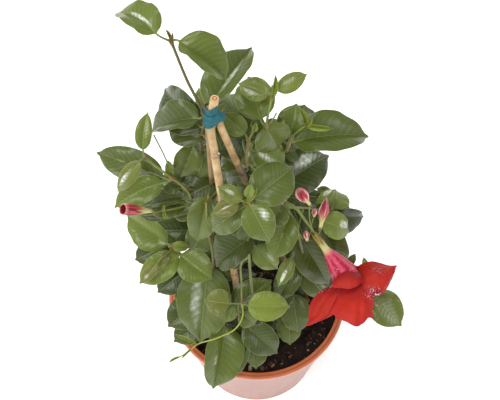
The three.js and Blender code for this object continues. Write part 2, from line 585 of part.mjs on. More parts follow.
// The tape: a snug sleeve wound round the three canes, its outline the hull of circles round them.
function tape() {
  const outline = (gap) => {
    const spots = [];
    CANES.forEach(({ beside, radius }) => {
      for (let i = 0; i < 24; i++) {
        const angle = (Math.PI * i) / 12;
        const reach = radius + gap;
        spots.push(new THREE.Vector2(beside.x + reach * Math.cos(angle), beside.y + reach * Math.sin(angle)));
      }
    });
    return hull(spots);
  };
  const shape = new THREE.Shape(outline(TAPE_CLEARANCE + TAPE_THICKNESS));
  shape.holes.push(new THREE.Path(outline(TAPE_CLEARANCE)));
  const sleeve = new THREE.ExtrudeGeometry(shape, { depth: TAPE_TO - TAPE_FROM, bevelEnabled: false, steps: 1 });
  sleeve.applyQuaternion(new THREE.Quaternion().setFromUnitVectors(UP, TIE_LEAN));
  const foot = TIE_FOOT.clone().addScaledVector(TIE_LEAN, TAPE_FROM);
  return solidOf(sleeve.translate(foot.x, foot.y, foot.z));
}

// The convex outline of flat points, counter-clockwise.
function hull(spots) {
  const sorted = [...spots].sort((a, b) => a.x - b.x || a.y - b.y);
  const turnsRight = (a, b, c) => (b.x - a.x) * (c.y - a.y) - (b.y - a.y) * (c.x - a.x) <= 1e-9;
  const chain = (list) => {
    const kept = [];
    list.forEach((spot) => {
      while (kept.length > 1 && turnsRight(kept[kept.length - 2], kept[kept.length - 1], spot)) kept.pop();
      kept.push(spot);
    });
    return kept.slice(0, -1);
  };
  return [...chain(sorted), ...chain(sorted.reverse())];
}

// Stations of a round profile [distance, radius] along a straight axis, as a rod.
function spun(foot, axis, profile, sides) {
  const rings = [];
  const across = new THREE.Vector3().crossVectors(axis, UP).normalize();
  const other = new THREE.Vector3().crossVectors(axis, across);
  profile.forEach(([distance, radius]) => {
    const centre = foot.clone().addScaledVector(axis, distance);
    rings.push(Array.from({ length: sides }, (_, j) => {
      const angle = (2 * Math.PI * j) / sides;
      return centre.clone().addScaledVector(across, radius * Math.cos(angle))
        .addScaledVector(other, radius * Math.sin(angle));
    }));
  });
  return skin(rings);
}

// Half the width of a lobe along its length, as a share of its widest: it widens fast and ends broad and round.
function lobeOutline(s) {
  return Math.min(LOBE_FOOT + 1.4 * s, 1) * Math.max((1 - s ** 6) ** 0.65, 0.03);
}

function bloom() {
  const mouth = BLOOM_PROFILE[BLOOM_PROFILE.length - 1];
  const left = new THREE.Vector3().crossVectors(BLOOM_AXIS, SIGHT).normalize();
  const near = SIGHT.clone().addScaledVector(BLOOM_AXIS, -SIGHT.dot(BLOOM_AXIS)).normalize();
  const centre = BLOOM_NECK.clone().addScaledVector(BLOOM_AXIS, mouth[0] - 1.5);
  const lobes = LOBES.map(({ round, flare }) => {
    const angle = THREE.MathUtils.degToRad(round);
    const outward = left.clone().multiplyScalar(Math.cos(angle)).addScaledVector(near, Math.sin(angle));
    const lean = THREE.MathUtils.degToRad(flare);
    const along = BLOOM_AXIS.clone().multiplyScalar(Math.cos(lean)).addScaledVector(outward, Math.sin(lean));
    const base = centre.clone().addScaledVector(outward, mouth[1] - 1.6);
    return lobe(base, along, outward);
  });
  const outer = solidOf(spun(BLOOM_NECK, BLOOM_AXIS, BLOOM_PROFILE, BLOOM_SIDES));
  const inside = BLOOM_PROFILE.slice(2).map(([distance, radius]) => [distance, radius - BLOOM_WALL]);
  inside[inside.length - 1][0] += 1;
  const hollow = solidOf(spun(BLOOM_NECK, BLOOM_AXIS, inside, BLOOM_SIDES));
  return lobes.reduce((whole, one) => whole.add(one), outer.subtract(hollow));
}

// One lobe: a broad blade from the mouth, its back towards the neck.
function lobe(base, along, outward) {
  const normal = outward.clone().addScaledVector(along, -outward.dot(along)).normalize();
  const side = new THREE.Vector3().crossVectors(along, normal);
  const stations = [0, 0.22, 0.45, 0.72, 0.9, 1];
  const rings = stations.map((s) => {
    const centre = base.clone().addScaledVector(along, LOBE_LENGTH * s).addScaledVector(side, LOBE_SWAY * s * s)
      .addScaledVector(normal, LOBE_ARCH * Math.sin(Math.PI * s) + LOBE_CURL * s * s);
    const half = (lobeOutline(s) * LOBE_WIDTH) / 2;
    const place = (share, lift) => centre.clone().addScaledVector(side, share * half)
      .addScaledVector(normal, lift - 0.1 * Math.abs(share) * half);
    const up = BLADE_THICKNESS / 2;
    return [place(-1, up), place(0, up), place(1, up), place(1, -up), place(0, -up), place(-1, -up)];
  });
  return solidOf(skin(rings));
}

function bud({ foot, tip, profile }) {
  const axis = tip.clone().sub(foot);
  const length = axis.length();
  return solidOf(spun(foot, axis.normalize(), profile.map(([share, radius]) => [share * length, radius]), 10));
}

const part = new THREE.Group();

function add(name, solid, colour, roughness) {
  const material = new THREE.MeshStandardMaterial({ color: colour, roughness, metalness: 0 });
  const mesh = new THREE.Mesh(geometryOf(solid), material);
  mesh.name = name;
  part.add(mesh);
}

const holes = [
  ...LEAFY_STEMS.map(({ routes: [{ points, radius }] }) => hole(points[0], points[1], radius + 2 * CLEARANCE)),
  ...CANES.map((one) => hole(one.foot, TIE_FOOT.clone().add(one.beside), one.footRadius + 2 * CLEARANCE)),
];
add("pot", pot(), COLOURS.pot, 0.55);
add("soil", soil(holes), COLOURS.soil, 0.95);
CANES.forEach((one) => add(one.name, cane(one), COLOURS.cane, 0.6));
add("tape", tape(), COLOURS.tape, 0.45);
LEAFY_STEMS.forEach((one) => add(one.name, fuse(Object.values(leafyPieces(one)).flat()), COLOURS.leaf, 0.4));
add("bloom", bloom(), COLOURS.bloom, 0.7);
BUDS.forEach((one) => add(one.name, bud(one), COLOURS.bud, 0.6));

export default part;
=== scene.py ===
import math

import bpy
import numpy as np
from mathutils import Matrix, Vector, noise


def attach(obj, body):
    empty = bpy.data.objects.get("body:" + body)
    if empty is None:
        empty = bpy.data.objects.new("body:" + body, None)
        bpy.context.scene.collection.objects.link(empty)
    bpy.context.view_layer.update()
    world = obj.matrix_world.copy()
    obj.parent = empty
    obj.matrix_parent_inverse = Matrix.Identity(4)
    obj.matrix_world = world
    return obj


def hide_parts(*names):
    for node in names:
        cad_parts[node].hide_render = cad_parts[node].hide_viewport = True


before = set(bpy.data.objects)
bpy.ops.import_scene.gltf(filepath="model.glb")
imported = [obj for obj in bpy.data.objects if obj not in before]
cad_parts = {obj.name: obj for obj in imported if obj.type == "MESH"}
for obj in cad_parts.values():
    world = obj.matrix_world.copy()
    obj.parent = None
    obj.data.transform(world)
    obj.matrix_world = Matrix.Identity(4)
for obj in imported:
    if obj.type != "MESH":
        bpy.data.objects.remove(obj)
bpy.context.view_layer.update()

# Studio: the plant stands on a pale, matt floor in an evenly white room. Big soft lamps hang over it, and the
# camera looks steeply down at its front.
VIEW_TILT = math.radians(61)
VIEW_DISTANCE = 1250
PICTURE_WIDTH = 500
PICTURE_HEIGHT = 400
SENSOR = 36
POT_HEIGHT = 130
LIP_ACROSS = 257
LIP_DOWN = 296
ROOM_LIGHT = 0.55
FLOOR_GLOW = 0.38
FLOOR_SIZE = 12

SIGHT = np.array([0, -math.cos(VIEW_TILT), math.sin(VIEW_TILT)])
UPWARD = np.array([0, math.sin(VIEW_TILT), math.cos(VIEW_TILT)])
RIGHTWARD = np.array([1.0, 0, 0])
EYE = (np.array([0, 0, POT_HEIGHT]) + SIGHT * VIEW_DISTANCE + RIGHTWARD * (PICTURE_WIDTH / 2 - LIP_ACROSS)
       + UPWARD * (LIP_DOWN - PICTURE_HEIGHT / 2))


def bring_in(name, data):
    """A new object in the scene, made of its data."""
    thing = bpy.data.objects.new(name, data)
    bpy.context.scene.collection.objects.link(thing)
    return thing


camera = bring_in("camera", bpy.data.cameras.new("camera"))
camera.data.sensor_width = SENSOR
camera.data.lens = SENSOR * VIEW_DISTANCE / PICTURE_WIDTH
camera.location = Vector(EYE / 1000)
camera.rotation_euler = (math.pi / 2 - VIEW_TILT, 0, 0)
camera.data.clip_end = 20
bpy.context.scene.camera = camera
bpy.context.scene.view_settings.view_transform = "Standard"


def paint(code):
    """A colour as the shaders reckon with it, from its screen code."""
    parts = [int(code[i:i + 2], 16) / 255 for i in (1, 3, 5)]
    return (*[c / 12.92 if c <= 0.04045 else ((c + 0.055) / 1.055) ** 2.4 for c in parts], 1.0)


class Nodes:
    """Adds nodes to one tree. Each input is given as a plain value or as another node's output."""

    def __init__(self, tree):
        self.tree = tree

    def add(self, kind, inputs=None, **settings):
        made = self.tree.nodes.new(kind)
        for name, value in settings.items():
            setattr(made, name, value)
        for key, value in (inputs or {}).items():
            self.feed(made.inputs[key], value)
        return made

    def feed(self, socket, value):
        if isinstance(value, bpy.types.NodeSocket):
            self.tree.links.new(value, socket)
        else:
            socket.default_value = value

    def math(self, operation, *values, clamp=False):
        made = self.add("ShaderNodeMath", dict(enumerate(values)), operation=operation, use_clamp=clamp)
        return made.outputs[0]

    def times(self, first, *others, clamp=False):
        for other in others:
            first = self.math("MULTIPLY", first, other, clamp=clamp)
        return first

    def plus(self, first, *others):
        for other in others:
            first = self.math("ADD", first, other)
        return first

    def minus(self, first, second):
        return self.math("SUBTRACT", first, second)

    def times_plus(self, value, factor, more):
        return self.math("MULTIPLY_ADD", value, factor, more)

    def vector(self, operation, *values):
        made = self.add("ShaderNodeVectorMath", dict(enumerate(values)), operation=operation)
        return made.outputs["Value" if operation in ("DOT_PRODUCT", "LENGTH", "DISTANCE") else "Vector"]

    def scaled(self, vector, factor):
        made = self.add("ShaderNodeVectorMath", {0: vector, "Scale": factor}, operation="SCALE")
        return made.outputs["Vector"]

    def blend(self, factor, *colours):
        first, second = (paint(c) if isinstance(c, str) else c for c in colours)
        return self.add("ShaderNodeMix", {0: factor, 6: first, 7: second}, data_type="RGBA").outputs[2]

    def tinted(self, colour, *layers):
        """Lays colours over a colour, each by the product of its masks."""
        for *masks, code in layers:
            colour = self.blend(self.times(*masks), colour, code)
        return colour

    def remap(self, value, low, high, new_low=0.0, new_high=1.0, smooth=True):
        made = self.add("ShaderNodeMapRange", {0: value, 1: low, 2: high, 3: new_low, 4: new_high},
                        interpolation_type="SMOOTHSTEP" if smooth else "LINEAR")
        return made.outputs[0]

    def ramp(self, value, stops):
        made = self.add("ShaderNodeValToRGB", {0: value})
        points = made.color_ramp.elements
        while len(points) < len(stops):
            points.new(0.5)
        for point, (place, code) in zip(points, stops):
            point.position = place
            point.color = paint(code)
        return made.outputs[0]

    def grain(self, vector, scale, detail=3.0, roughness=0.5):
        made = self.add("ShaderNodeTexNoise",
                        {"Vector": vector, "Scale": scale, "Detail": detail, "Roughness": roughness})
        return made.outputs["Fac"]

    def carried(self, name):
        """A value that the piece's own mesh carries."""
        return self.add("ShaderNodeAttribute", attribute_name=name).outputs["Fac"]

    def own_place(self):
        return self.add("ShaderNodeTexCoord").outputs["Object"]

    def bump(self, height, distance, strength):
        return self.add("ShaderNodeBump", {"Height": height, "Distance": distance, "Strength": strength}).outputs[0]

    def finish(self, **inputs):
        """Gives the material's shader its inputs."""
        for name, value in inputs.items():
            self.feed(self.tree.nodes["Principled BSDF"].inputs[name.replace("_", " ")], value)


def new_material(name, **shader_values):
    """A material with its shader's plain values set, and the means to add nodes to it."""
    material = bpy.data.materials.new(name)
    material.use_nodes = True
    nodes = Nodes(material.node_tree)
    nodes.finish(**shader_values)
    return material, nodes


def sockets(tree, way, *listed):
    """Names what goes into a tree or what comes out of it."""
    for name, kind in listed:
        tree.interface.new_socket(name, in_out=way, socket_type="NodeSocket" + kind)


# Mottling: soft, uneven patches with a finer grain in them, for every finish that is not one even colour.
mottle = bpy.data.node_groups.new("mottling", "ShaderNodeTree")
sockets(mottle, "INPUT", ("Place", "Vector"), ("Patch Scale", "Float"), ("Grain Scale", "Float"),
        ("Grain Share", "Float"))
sockets(mottle, "OUTPUT", ("Patches", "Float"), ("Grain", "Float"))
nodes = Nodes(mottle)
given = nodes.add("NodeGroupInput").outputs
patches = nodes.grain(given["Place"], given["Patch Scale"], 3.0, 0.55)
fine = nodes.grain(given["Place"], given["Grain Scale"], 4.0, 0.6)
spread = nodes.plus(nodes.times(patches, nodes.minus(1.0, given["Grain Share"])),
                    nodes.times(fine, given["Grain Share"]))
nodes.add("NodeGroupOutput", {"Patches": nodes.remap(spread, 0.3, 0.7), "Grain": fine})


def mottled(nodes, patch_scale, grain_scale, grain_share=0.3):
    """The mottling group placed in a material, on the piece's own coordinates."""
    group = nodes.add("ShaderNodeGroup",
                      {"Place": nodes.own_place(), "Patch Scale": patch_scale, "Grain Scale": grain_scale,
                       "Grain Share": grain_share}, node_tree=mottle)
    return group.outputs["Patches"], group.outputs["Grain"]


floor_finish, nodes = new_material("pale_floor", Roughness=0.85, Emission_Strength=FLOOR_GLOW,
                                   Emission_Color=(1.0, 1.0, 1.0, 1.0))
patches, grain = mottled(nodes, 3.0, 60.0)
nodes.finish(Base_Color=nodes.blend(patches, "#F6F6F5", "#FBFBFA"), Normal=nodes.bump(grain, 0.0002, 0.2))
bpy.ops.mesh.primitive_plane_add(size=FLOOR_SIZE)
floor = bpy.context.object
floor.name = "floor"
floor.data.materials.append(floor_finish)

for name, place, size, power, aim in (
        ("lamp_front", (-0.9, -1.6, 2.8), 1.3, 36, (0, 0, 0.3)),
        ("lamp_over", (-0.6, 1.2, 3.0), 1.3, 30, (0, 0, 0.3)),
        ("lamp_left", (-2.8, -0.2, 2.2), 1.3, 40, (0, 0, 0.3)),
        ("lamp_right", (2.6, -0.8, 2.0), 1.1, 16, (0, 0, 0.25))):
    lamp = bring_in(name, bpy.data.lights.new(name, "AREA"))
    lamp.data.size = size
    lamp.data.energy = power
    lamp.location = place
    lamp.rotation_euler = (Vector(aim) - Vector(place)).to_track_quat("-Z", "Y").to_euler()
room = bpy.data.worlds.new("white_room")
bpy.context.scene.world = room
room.use_nodes = True
light = room.node_tree.nodes["Background"].inputs
light["Color"].default_value = (1.0, 1.0, 1.0, 1.0)
light["Strength"].default_value = ROOM_LIGHT

# Pot: a tapered nursery pot of moulded plastic. Its wall is thin, its lip is rolled and stepped, and its floor has a
# ring of drain holes. It was injected in one piece of orange terracotta plastic. Only the top of the lip shows that
# strong terracotta; the wall and the side of the lip are painted a pale rose as painted glare.
LIP_RADIUS = 88
LIP_WIDTH = 7
LIP_DROP = 7
LIP_STEP = 3.4
FOOT_RADIUS = 62.2
WALL = 2.2
FLOOR = 3
DRAIN_RADIUS = 5
DRAIN_RING = 40
DRAIN_HOLES = 6
DRAIN_SEGMENTS = 24
POT_SEGMENTS = 192
POT_CREASE = math.radians(38)


def new_piece(name, places, faces, *materials):
    """A piece as a mesh from places in millimetres and faces of their numbers."""
    mesh = bpy.data.meshes.new(name)
    mesh.from_pydata([tuple(p) for p in np.asarray(places) / 1000], [], [tuple(map(int, f)) for f in faces])
    for material in materials:
        mesh.materials.append(material)
    mesh.update()
    mesh.shade_smooth()
    return bring_in(name, mesh)


def ring_faces(rings, sides):
    """Faces between closed rings of equally many places, each ring after the last."""
    return [(i * sides + j, i * sides + (j + 1) % sides, (i + 1) * sides + (j + 1) % sides, (i + 1) * sides + j)
            for i in range(rings - 1) for j in range(sides)]


def tube_faces(rings, sides):
    """Faces of a tube of rings that is closed at its two ends."""
    return ring_faces(rings, sides) + [tuple(range(sides))[::-1], tuple(range((rings - 1) * sides, rings * sides))]


def ring_of(radius, count):
    """Evenly spaced places across and back, round the upright axis."""
    return [(radius * math.cos(turn), radius * math.sin(turn)) for turn in 2 * np.pi * np.arange(count) / count]


def lathe(profile, segments):
    """Places and faces of a profile of (radius, height) turned about the upright axis."""
    return [(x, y, z) for r, z in profile for x, y in ring_of(r, segments)], tube_faces(len(profile), segments)


def settle(piece):
    """Turns a piece with live modifiers into a plain mesh."""
    bpy.context.view_layer.update()
    graph = bpy.context.evaluated_depsgraph_get()
    mesh = bpy.data.meshes.new_from_object(piece.evaluated_get(graph), preserve_all_data_layers=True,
                                           depsgraph=graph)
    piece.modifiers.clear()
    piece.data = mesh


def stand(piece, slot, *nodes_replaced):
    """The piece rides with the pot and stands for the solids that it replaces. Its slot is not used."""
    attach(piece, "root")
    if nodes_replaced:
        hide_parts(*nodes_replaced)


shoulder = LIP_RADIUS - LIP_STEP
pot_profile = [
    (0.2, 0), (FOOT_RADIUS - 9, 0), (FOOT_RADIUS - 2, 0), (FOOT_RADIUS - 0.6, 0.5), (FOOT_RADIUS, 1.6),
    (FOOT_RADIUS + 0.1, 4), (shoulder - 0.3, POT_HEIGHT - LIP_DROP - 2), (shoulder, POT_HEIGHT - LIP_DROP - 0.4),
    (shoulder + 0.5, POT_HEIGHT - LIP_DROP), (LIP_RADIUS - 1.2, POT_HEIGHT - LIP_DROP),
    (LIP_RADIUS - 0.8, POT_HEIGHT - LIP_DROP + 0.4), (LIP_RADIUS - 0.75, POT_HEIGHT - 3.9),
    (LIP_RADIUS - 0.6, POT_HEIGHT - 3.5), (LIP_RADIUS - 0.1, POT_HEIGHT - 3.2), (LIP_RADIUS, POT_HEIGHT - 2.8),
    (LIP_RADIUS, POT_HEIGHT - 1.2), (LIP_RADIUS - 0.3, POT_HEIGHT - 0.4), (LIP_RADIUS - 1, POT_HEIGHT),
    (LIP_RADIUS - 2.8, POT_HEIGHT), (LIP_RADIUS - 3.3, POT_HEIGHT - 0.5), (LIP_RADIUS - 3.8, POT_HEIGHT),
    (LIP_RADIUS - LIP_WIDTH + 1.1, POT_HEIGHT), (LIP_RADIUS - LIP_WIDTH + 0.3, POT_HEIGHT - 0.4),
    (LIP_RADIUS - LIP_WIDTH, POT_HEIGHT - 1.2), (shoulder - WALL, POT_HEIGHT - LIP_DROP),
    (FOOT_RADIUS - WALL, FLOOR + 1.2), (FOOT_RADIUS - WALL - 1, FLOOR + 0.2), (FOOT_RADIUS - WALL - 2, FLOOR),
    (0.2, FLOOR)]

pot_finish, nodes = new_material("moulded_terracotta_plastic", Coat_Weight=0.25, Coat_Roughness=0.25)
patches, grain = mottled(nodes, 28.0, 900.0)
spot = nodes.own_place()
height = nodes.add("ShaderNodeSeparateXYZ", {0: spot}).outputs["Z"]
streaks = nodes.grain(nodes.vector("MULTIPLY", spot, (1.0, 1.0, 0.04)), 160.0, 2.0)
# Painted glare: the wall is painted a pale rose, the washed-out look of strong light on the orange plastic. It has
# faint streaks, and its tone shifts a little with height. The band from just under the lip up to its orange top is
# painted paler still, a painted highlight on the lip's side.
glare_painted_wall_colour = nodes.blend(nodes.remap(streaks, 0.35, 0.65), "#A16E5E", "#AA796A")
glare_painted_wall_colour = nodes.tinted(glare_painted_wall_colour, (nodes.remap(height, 0.02, 0.12, 0.2, 0.8), "#A77465"),
                           (nodes.remap(height, 0.1222, 0.124, 0.0, 0.6), "#C4A195"))
lip_colour = nodes.blend(patches, "#C2643A", "#CF7445")
on_lip = nodes.remap(height, 0.1276, 0.1286)
outer = nodes.remap(height, 0.004, 0.121, 0.0611, 0.0843, smooth=False)
from_axis = nodes.vector("LENGTH", nodes.vector("MULTIPLY", spot, (1.0, 1.0, 0.0)))
# Painted shade: the groove round the top of the lip is painted a darker brown-orange.
groove_shade = nodes.remap(nodes.math("ABSOLUTE", nodes.minus(from_axis, 0.0847)), 0.0003, 0.0011, 0.55, 0.0)
lip_colour = nodes.blend(groove_shade, lip_colour, "#8E4324")
inside = nodes.remap(nodes.minus(from_axis, outer), -0.0014, -0.0008, 1.0, 0.0)
orange = nodes.math("MAXIMUM", on_lip, nodes.times(nodes.remap(height, 0.09, 0.095), inside))
nodes.finish(Base_Color=nodes.blend(orange, glare_painted_wall_colour, lip_colour),
             Roughness=nodes.remap(grain, 0.3, 0.7, 0.36, 0.48),
             Normal=nodes.bump(nodes.plus(grain, streaks), 0.00015, 0.35))

pot = new_piece("pot_moulding", *lathe(pot_profile, POT_SEGMENTS), pot_finish)
drills = []
for i in range(DRAIN_HOLES):
    turn = 2 * math.pi * i / DRAIN_HOLES
    places, faces = lathe([(DRAIN_RADIUS, -2), (DRAIN_RADIUS, FLOOR + 2)], DRAIN_SEGMENTS)
    drill = new_piece(f"drill_{i}", np.array(places) + [DRAIN_RING * math.cos(turn), DRAIN_RING * math.sin(turn), 0],
                      faces)
    drills.append(drill)
    cut = pot.modifiers.new("drain", "BOOLEAN")
    cut.object = drill
    cut.operation = "DIFFERENCE"
settle(pot)
for drill in drills:
    bpy.data.objects.remove(drill)
pot.data.shade_smooth()
pot.data.set_sharp_from_angle(angle=POT_CREASE)
stand(pot, "pot_plastic", "pot")

# Soil: dark, moist potting soil of peat and composted bark, filled in loosely to just under the lip. Crumbs, bark
# flakes and a few pale bits lie on it.
SOIL_TOP = 114
SOIL_RELIEF = 2.2
SOIL_EDGE = 4
SOIL_RINGS = 70
SOIL_SEGMENTS = 200
SIZE_SEED = 5
LENGTH_SEED = 9


def soil_radius(height):
    foot = FOOT_RADIUS - WALL
    top = LIP_RADIUS - LIP_STEP - WALL
    return foot + (top - foot) * (height - FLOOR) / (POT_HEIGHT - LIP_DROP - FLOOR) - 0.15


def soil_height(x, y):
    heaps = math.sin(x * 0.21 + 1) * math.cos(y * 0.17)
    coarse = SOIL_RELIEF * (heaps + 0.5 * math.sin(x * 0.4 - y * 0.33))
    lumps = noise.fractal(Vector((x * 0.16, y * 0.16, 3.1)), 0.9, 2.1, 4)
    crumbs = noise.noise(Vector((x * 0.8, y * 0.8, 7.7)))
    return SOIL_TOP + coarse + 1.1 * lumps + 0.5 * crumbs


def tree_inputs(tree, *listed):
    """Names a tree's inputs, after its geometry, and gives back where they arrive."""
    sockets(tree, "INPUT", ("Geometry", "Geometry"), *listed)
    sockets(tree, "OUTPUT", ("Geometry", "Geometry"))
    return tree.nodes.new("NodeGroupInput").outputs


def grow(piece, tree, **values):
    """Puts a tree on a piece, sets the tree's named inputs, and keeps its result as a plain mesh."""
    modifier = piece.modifiers.new(tree.name, "NODES")
    modifier.node_group = tree
    for item in tree.interface.items_tree:
        key = item.name.replace(" ", "_").lower()
        if item.in_out == "INPUT" and key in values:
            modifier[item.identifier] = values[key]
    settle(piece)


def named(nodes, name, kind="FLOAT"):
    return nodes.add("GeometryNodeInputNamedAttribute", {"Name": name}, data_type=kind).outputs["Attribute"]


def stored(nodes, geometry, name, value):
    made = nodes.add("GeometryNodeStoreNamedAttribute", {"Geometry": geometry, "Name": name}, data_type="FLOAT")
    nodes.feed(next(s for s in made.inputs if s.name == "Value" and s.enabled), value)
    return made.outputs[0]


def in_material(nodes, geometry, material):
    return nodes.add("GeometryNodeSetMaterial", {"Geometry": geometry, "Material": material}).outputs[0]


def by_chance(nodes, low, high, seed, kind="FLOAT"):
    """A random value between two others, at each point."""
    first, out = (2, 1) if kind == "FLOAT" else (0, 0)
    return nodes.add("FunctionNodeRandomValue", {first: low, first + 1: high, "Seed": seed},
                     data_type=kind).outputs[out]


scatter = bpy.data.node_groups.new("scattered_bits", "GeometryNodeTree")
given = tree_inputs(scatter, ("Density", "Float"), ("Seed", "Int"), ("Smallest", "Float"), ("Largest", "Float"),
                    ("Flatness", "Float"), ("Material", "Material"))
nodes = Nodes(scatter)
facing = nodes.add("ShaderNodeSeparateXYZ", {0: nodes.add("GeometryNodeInputNormal").outputs[0]}).outputs["Z"]
from_axis = nodes.vector("LENGTH",
                         nodes.vector("MULTIPLY", nodes.add("GeometryNodeInputPosition").outputs[0], (1.0, 1.0, 0.0)))
inward = nodes.math("LESS_THAN", from_axis, nodes.times_plus(given["Largest"], -1.9, 0.0805))
level = nodes.math("GREATER_THAN", facing, 0.4)
spots = nodes.add("GeometryNodeDistributePointsOnFaces",
                  {"Mesh": given["Geometry"], "Selection": nodes.times(inward, level), "Density": given["Density"],
                   "Seed": given["Seed"]})
points = stored(nodes, spots.outputs["Points"], "tone", by_chance(nodes, 0.0, 1.0, given["Seed"]))
bit = nodes.add("GeometryNodeMeshIcoSphere", {"Radius": 1.0, "Subdivisions": 1})
turned = by_chance(nodes, (-0.5, -0.5, 0.0), (0.5, 0.5, 6.28), given["Seed"], "FLOAT_VECTOR")
size = by_chance(nodes, given["Smallest"], given["Largest"], SIZE_SEED)
longer = by_chance(nodes, (0.7, 0.5, 0.4), (1.5, 1.0, 0.8), LENGTH_SEED, "FLOAT_VECTOR")
flat = nodes.add("ShaderNodeCombineXYZ", {0: 1.0, 1: 1.0, 2: given["Flatness"]}).outputs[0]
placed = nodes.add("GeometryNodeInstanceOnPoints",
                   {"Points": points, "Instance": bit.outputs["Mesh"], "Rotation": turned,
                    "Scale": nodes.scaled(nodes.vector("MULTIPLY", longer, flat), size)})
real = nodes.add("GeometryNodeRealizeInstances", {0: placed.outputs[0]}).outputs[0]
spot = nodes.add("GeometryNodeInputPosition").outputs[0]
rough = nodes.add("ShaderNodeTexNoise", {"Vector": spot, "Scale": 700.0, "Detail": 1.0}).outputs["Color"]
push = nodes.scaled(nodes.vector("SUBTRACT", rough, (0.5, 0.5, 0.5)), nodes.times(given["Largest"], 1.1))
real = nodes.add("GeometryNodeSetPosition", {"Geometry": real, "Offset": push}).outputs[0]
nodes.add("NodeGroupOutput", {0: in_material(nodes, real, given["Material"])})

soil_finish, nodes = new_material("moist_potting_soil", Specular_IOR_Level=0.3)
patches, grain = mottled(nodes, 120.0, 1500.0, 0.5)
nodes.finish(Base_Color=nodes.ramp(patches, [(0.0, "#0E0906"), (0.55, "#20130D"), (1.0, "#3A2418")]),
             Roughness=nodes.remap(patches, 0.0, 1.0, 0.62, 0.95), Normal=nodes.bump(grain, 0.0008, 0.8))

bark_finish, nodes = new_material("bark_bits", Specular_IOR_Level=0.3)
tone = nodes.carried("tone")
patches, grain = mottled(nodes, 300.0, 2200.0, 0.5)
bark = nodes.ramp(tone, [(0.0, "#120B08"), (0.5, "#23160F"), (0.8, "#422C1F"), (0.95, "#7A5A41"), (1.0, "#B0916F")])
nodes.finish(Base_Color=nodes.blend(nodes.times(patches, 0.45), bark, "#140D09"),
             Roughness=nodes.remap(grain, 0.3, 0.7, 0.6, 0.9), Normal=nodes.bump(grain, 0.0005, 0.6))

chip_finish, nodes = new_material("pale_wood_chips", Specular_IOR_Level=0.3)
tone = nodes.carried("tone")
patches, grain = mottled(nodes, 260.0, 2000.0, 0.5)
chip = nodes.ramp(tone, [(0.0, "#4A3426"), (0.6, "#7E6049"), (1.0, "#B49A7E")])
nodes.finish(Base_Color=nodes.blend(nodes.times(patches, 0.5), chip, "#33221A"),
             Roughness=nodes.remap(grain, 0.3, 0.7, 0.7, 0.95), Normal=nodes.bump(grain, 0.0006, 0.7))

places = [(0, 0, soil_height(0, 0))]
top_radius = soil_radius(SOIL_TOP)
for i in range(1, SOIL_RINGS + 1):
    radius = top_radius * i / SOIL_RINGS
    sunk = max(0.0, radius - top_radius + 3) * 0.5
    places += [(x, y, soil_height(x, y) - sunk) for x, y in ring_of(radius, SOIL_SEGMENTS)]
for radius, height in ((soil_radius(SOIL_TOP - SOIL_EDGE - 4), SOIL_TOP - SOIL_EDGE - 4),
                       (soil_radius(FLOOR) - 1.2, FLOOR + 0.3), (2, FLOOR + 0.3)):
    places += [(x, y, height) for x, y in ring_of(radius, SOIL_SEGMENTS)]
faces = [(0, 1 + j, 1 + (j + 1) % SOIL_SEGMENTS) for j in range(SOIL_SEGMENTS)]
faces += [tuple(v + 1 for v in f[::-1]) for f in ring_faces(SOIL_RINGS + 3, SOIL_SEGMENTS)]
faces.append(tuple(range(len(places) - SOIL_SEGMENTS, len(places)))[::-1])
soil = new_piece("soil_filling", places, faces, soil_finish)
stand(soil, "potting_soil", "soil")

for name, density, seed, smallest, largest, flatness, finish in (
        ("soil_crumbs", 110000, 3, 0.0006, 0.0016, 0.8, bark_finish),
        ("bark_flakes", 7000, 11, 0.0016, 0.0042, 0.35, bark_finish),
        ("wood_chips", 6000, 6, 0.0014, 0.0034, 0.5, chip_finish)):
    bits = bring_in(name, soil.data.copy())
    grow(bits, scatter, density=density, seed=seed, smallest=smallest, largest=largest, flatness=flatness,
         material=finish)
    stand(bits, "potting_soil")

# Canes: three dry bamboo canes pushed into the soil as a tripod. They lean together and cross the tie upright.
# Each has a low ring at its nodes, and the cut end of the tallest shows its pith.
TIE_FOOT = np.array([-36.5, -1, 444])
CANE_NODE_SPACING = 88
CANE_STEP = 1.6
CANE_SIDES = 20
ROD_CREASE = math.radians(50)


def unit(direction):
    return direction / np.linalg.norm(direction)


TIE_LEAN = unit(np.array([2.8, 2.8, 38]))
# Each cane's dark gives the height below which it is painted dark, as painted shade under the leaves, and how
# strongly.
CANES = [
    dict(name="cane_front", foot=(-8, -45, 62), beside=(-1.3, 0, 0), head=(1.3, 0, 0), radius=3.4, foot_radius=3.1,
         above=39, seed=0.0, dull=0.45, dark=(345, 0.35)),
    dict(name="cane_right", foot=(52, 20, 62), beside=(5.4, 3.9, 0), head=(0, 0, 0), radius=3, foot_radius=2.9,
         above=9, seed=4.0, dull=0.45, dark=(386, 1)),
    dict(name="cane_left", foot=(-38, 40, 62), beside=(-3.8, 5.6, 0), head=(0, 0, 0), radius=2.5, foot_radius=2.6,
         above=20, seed=8.0, dull=1, dark=(350, 1)),
]


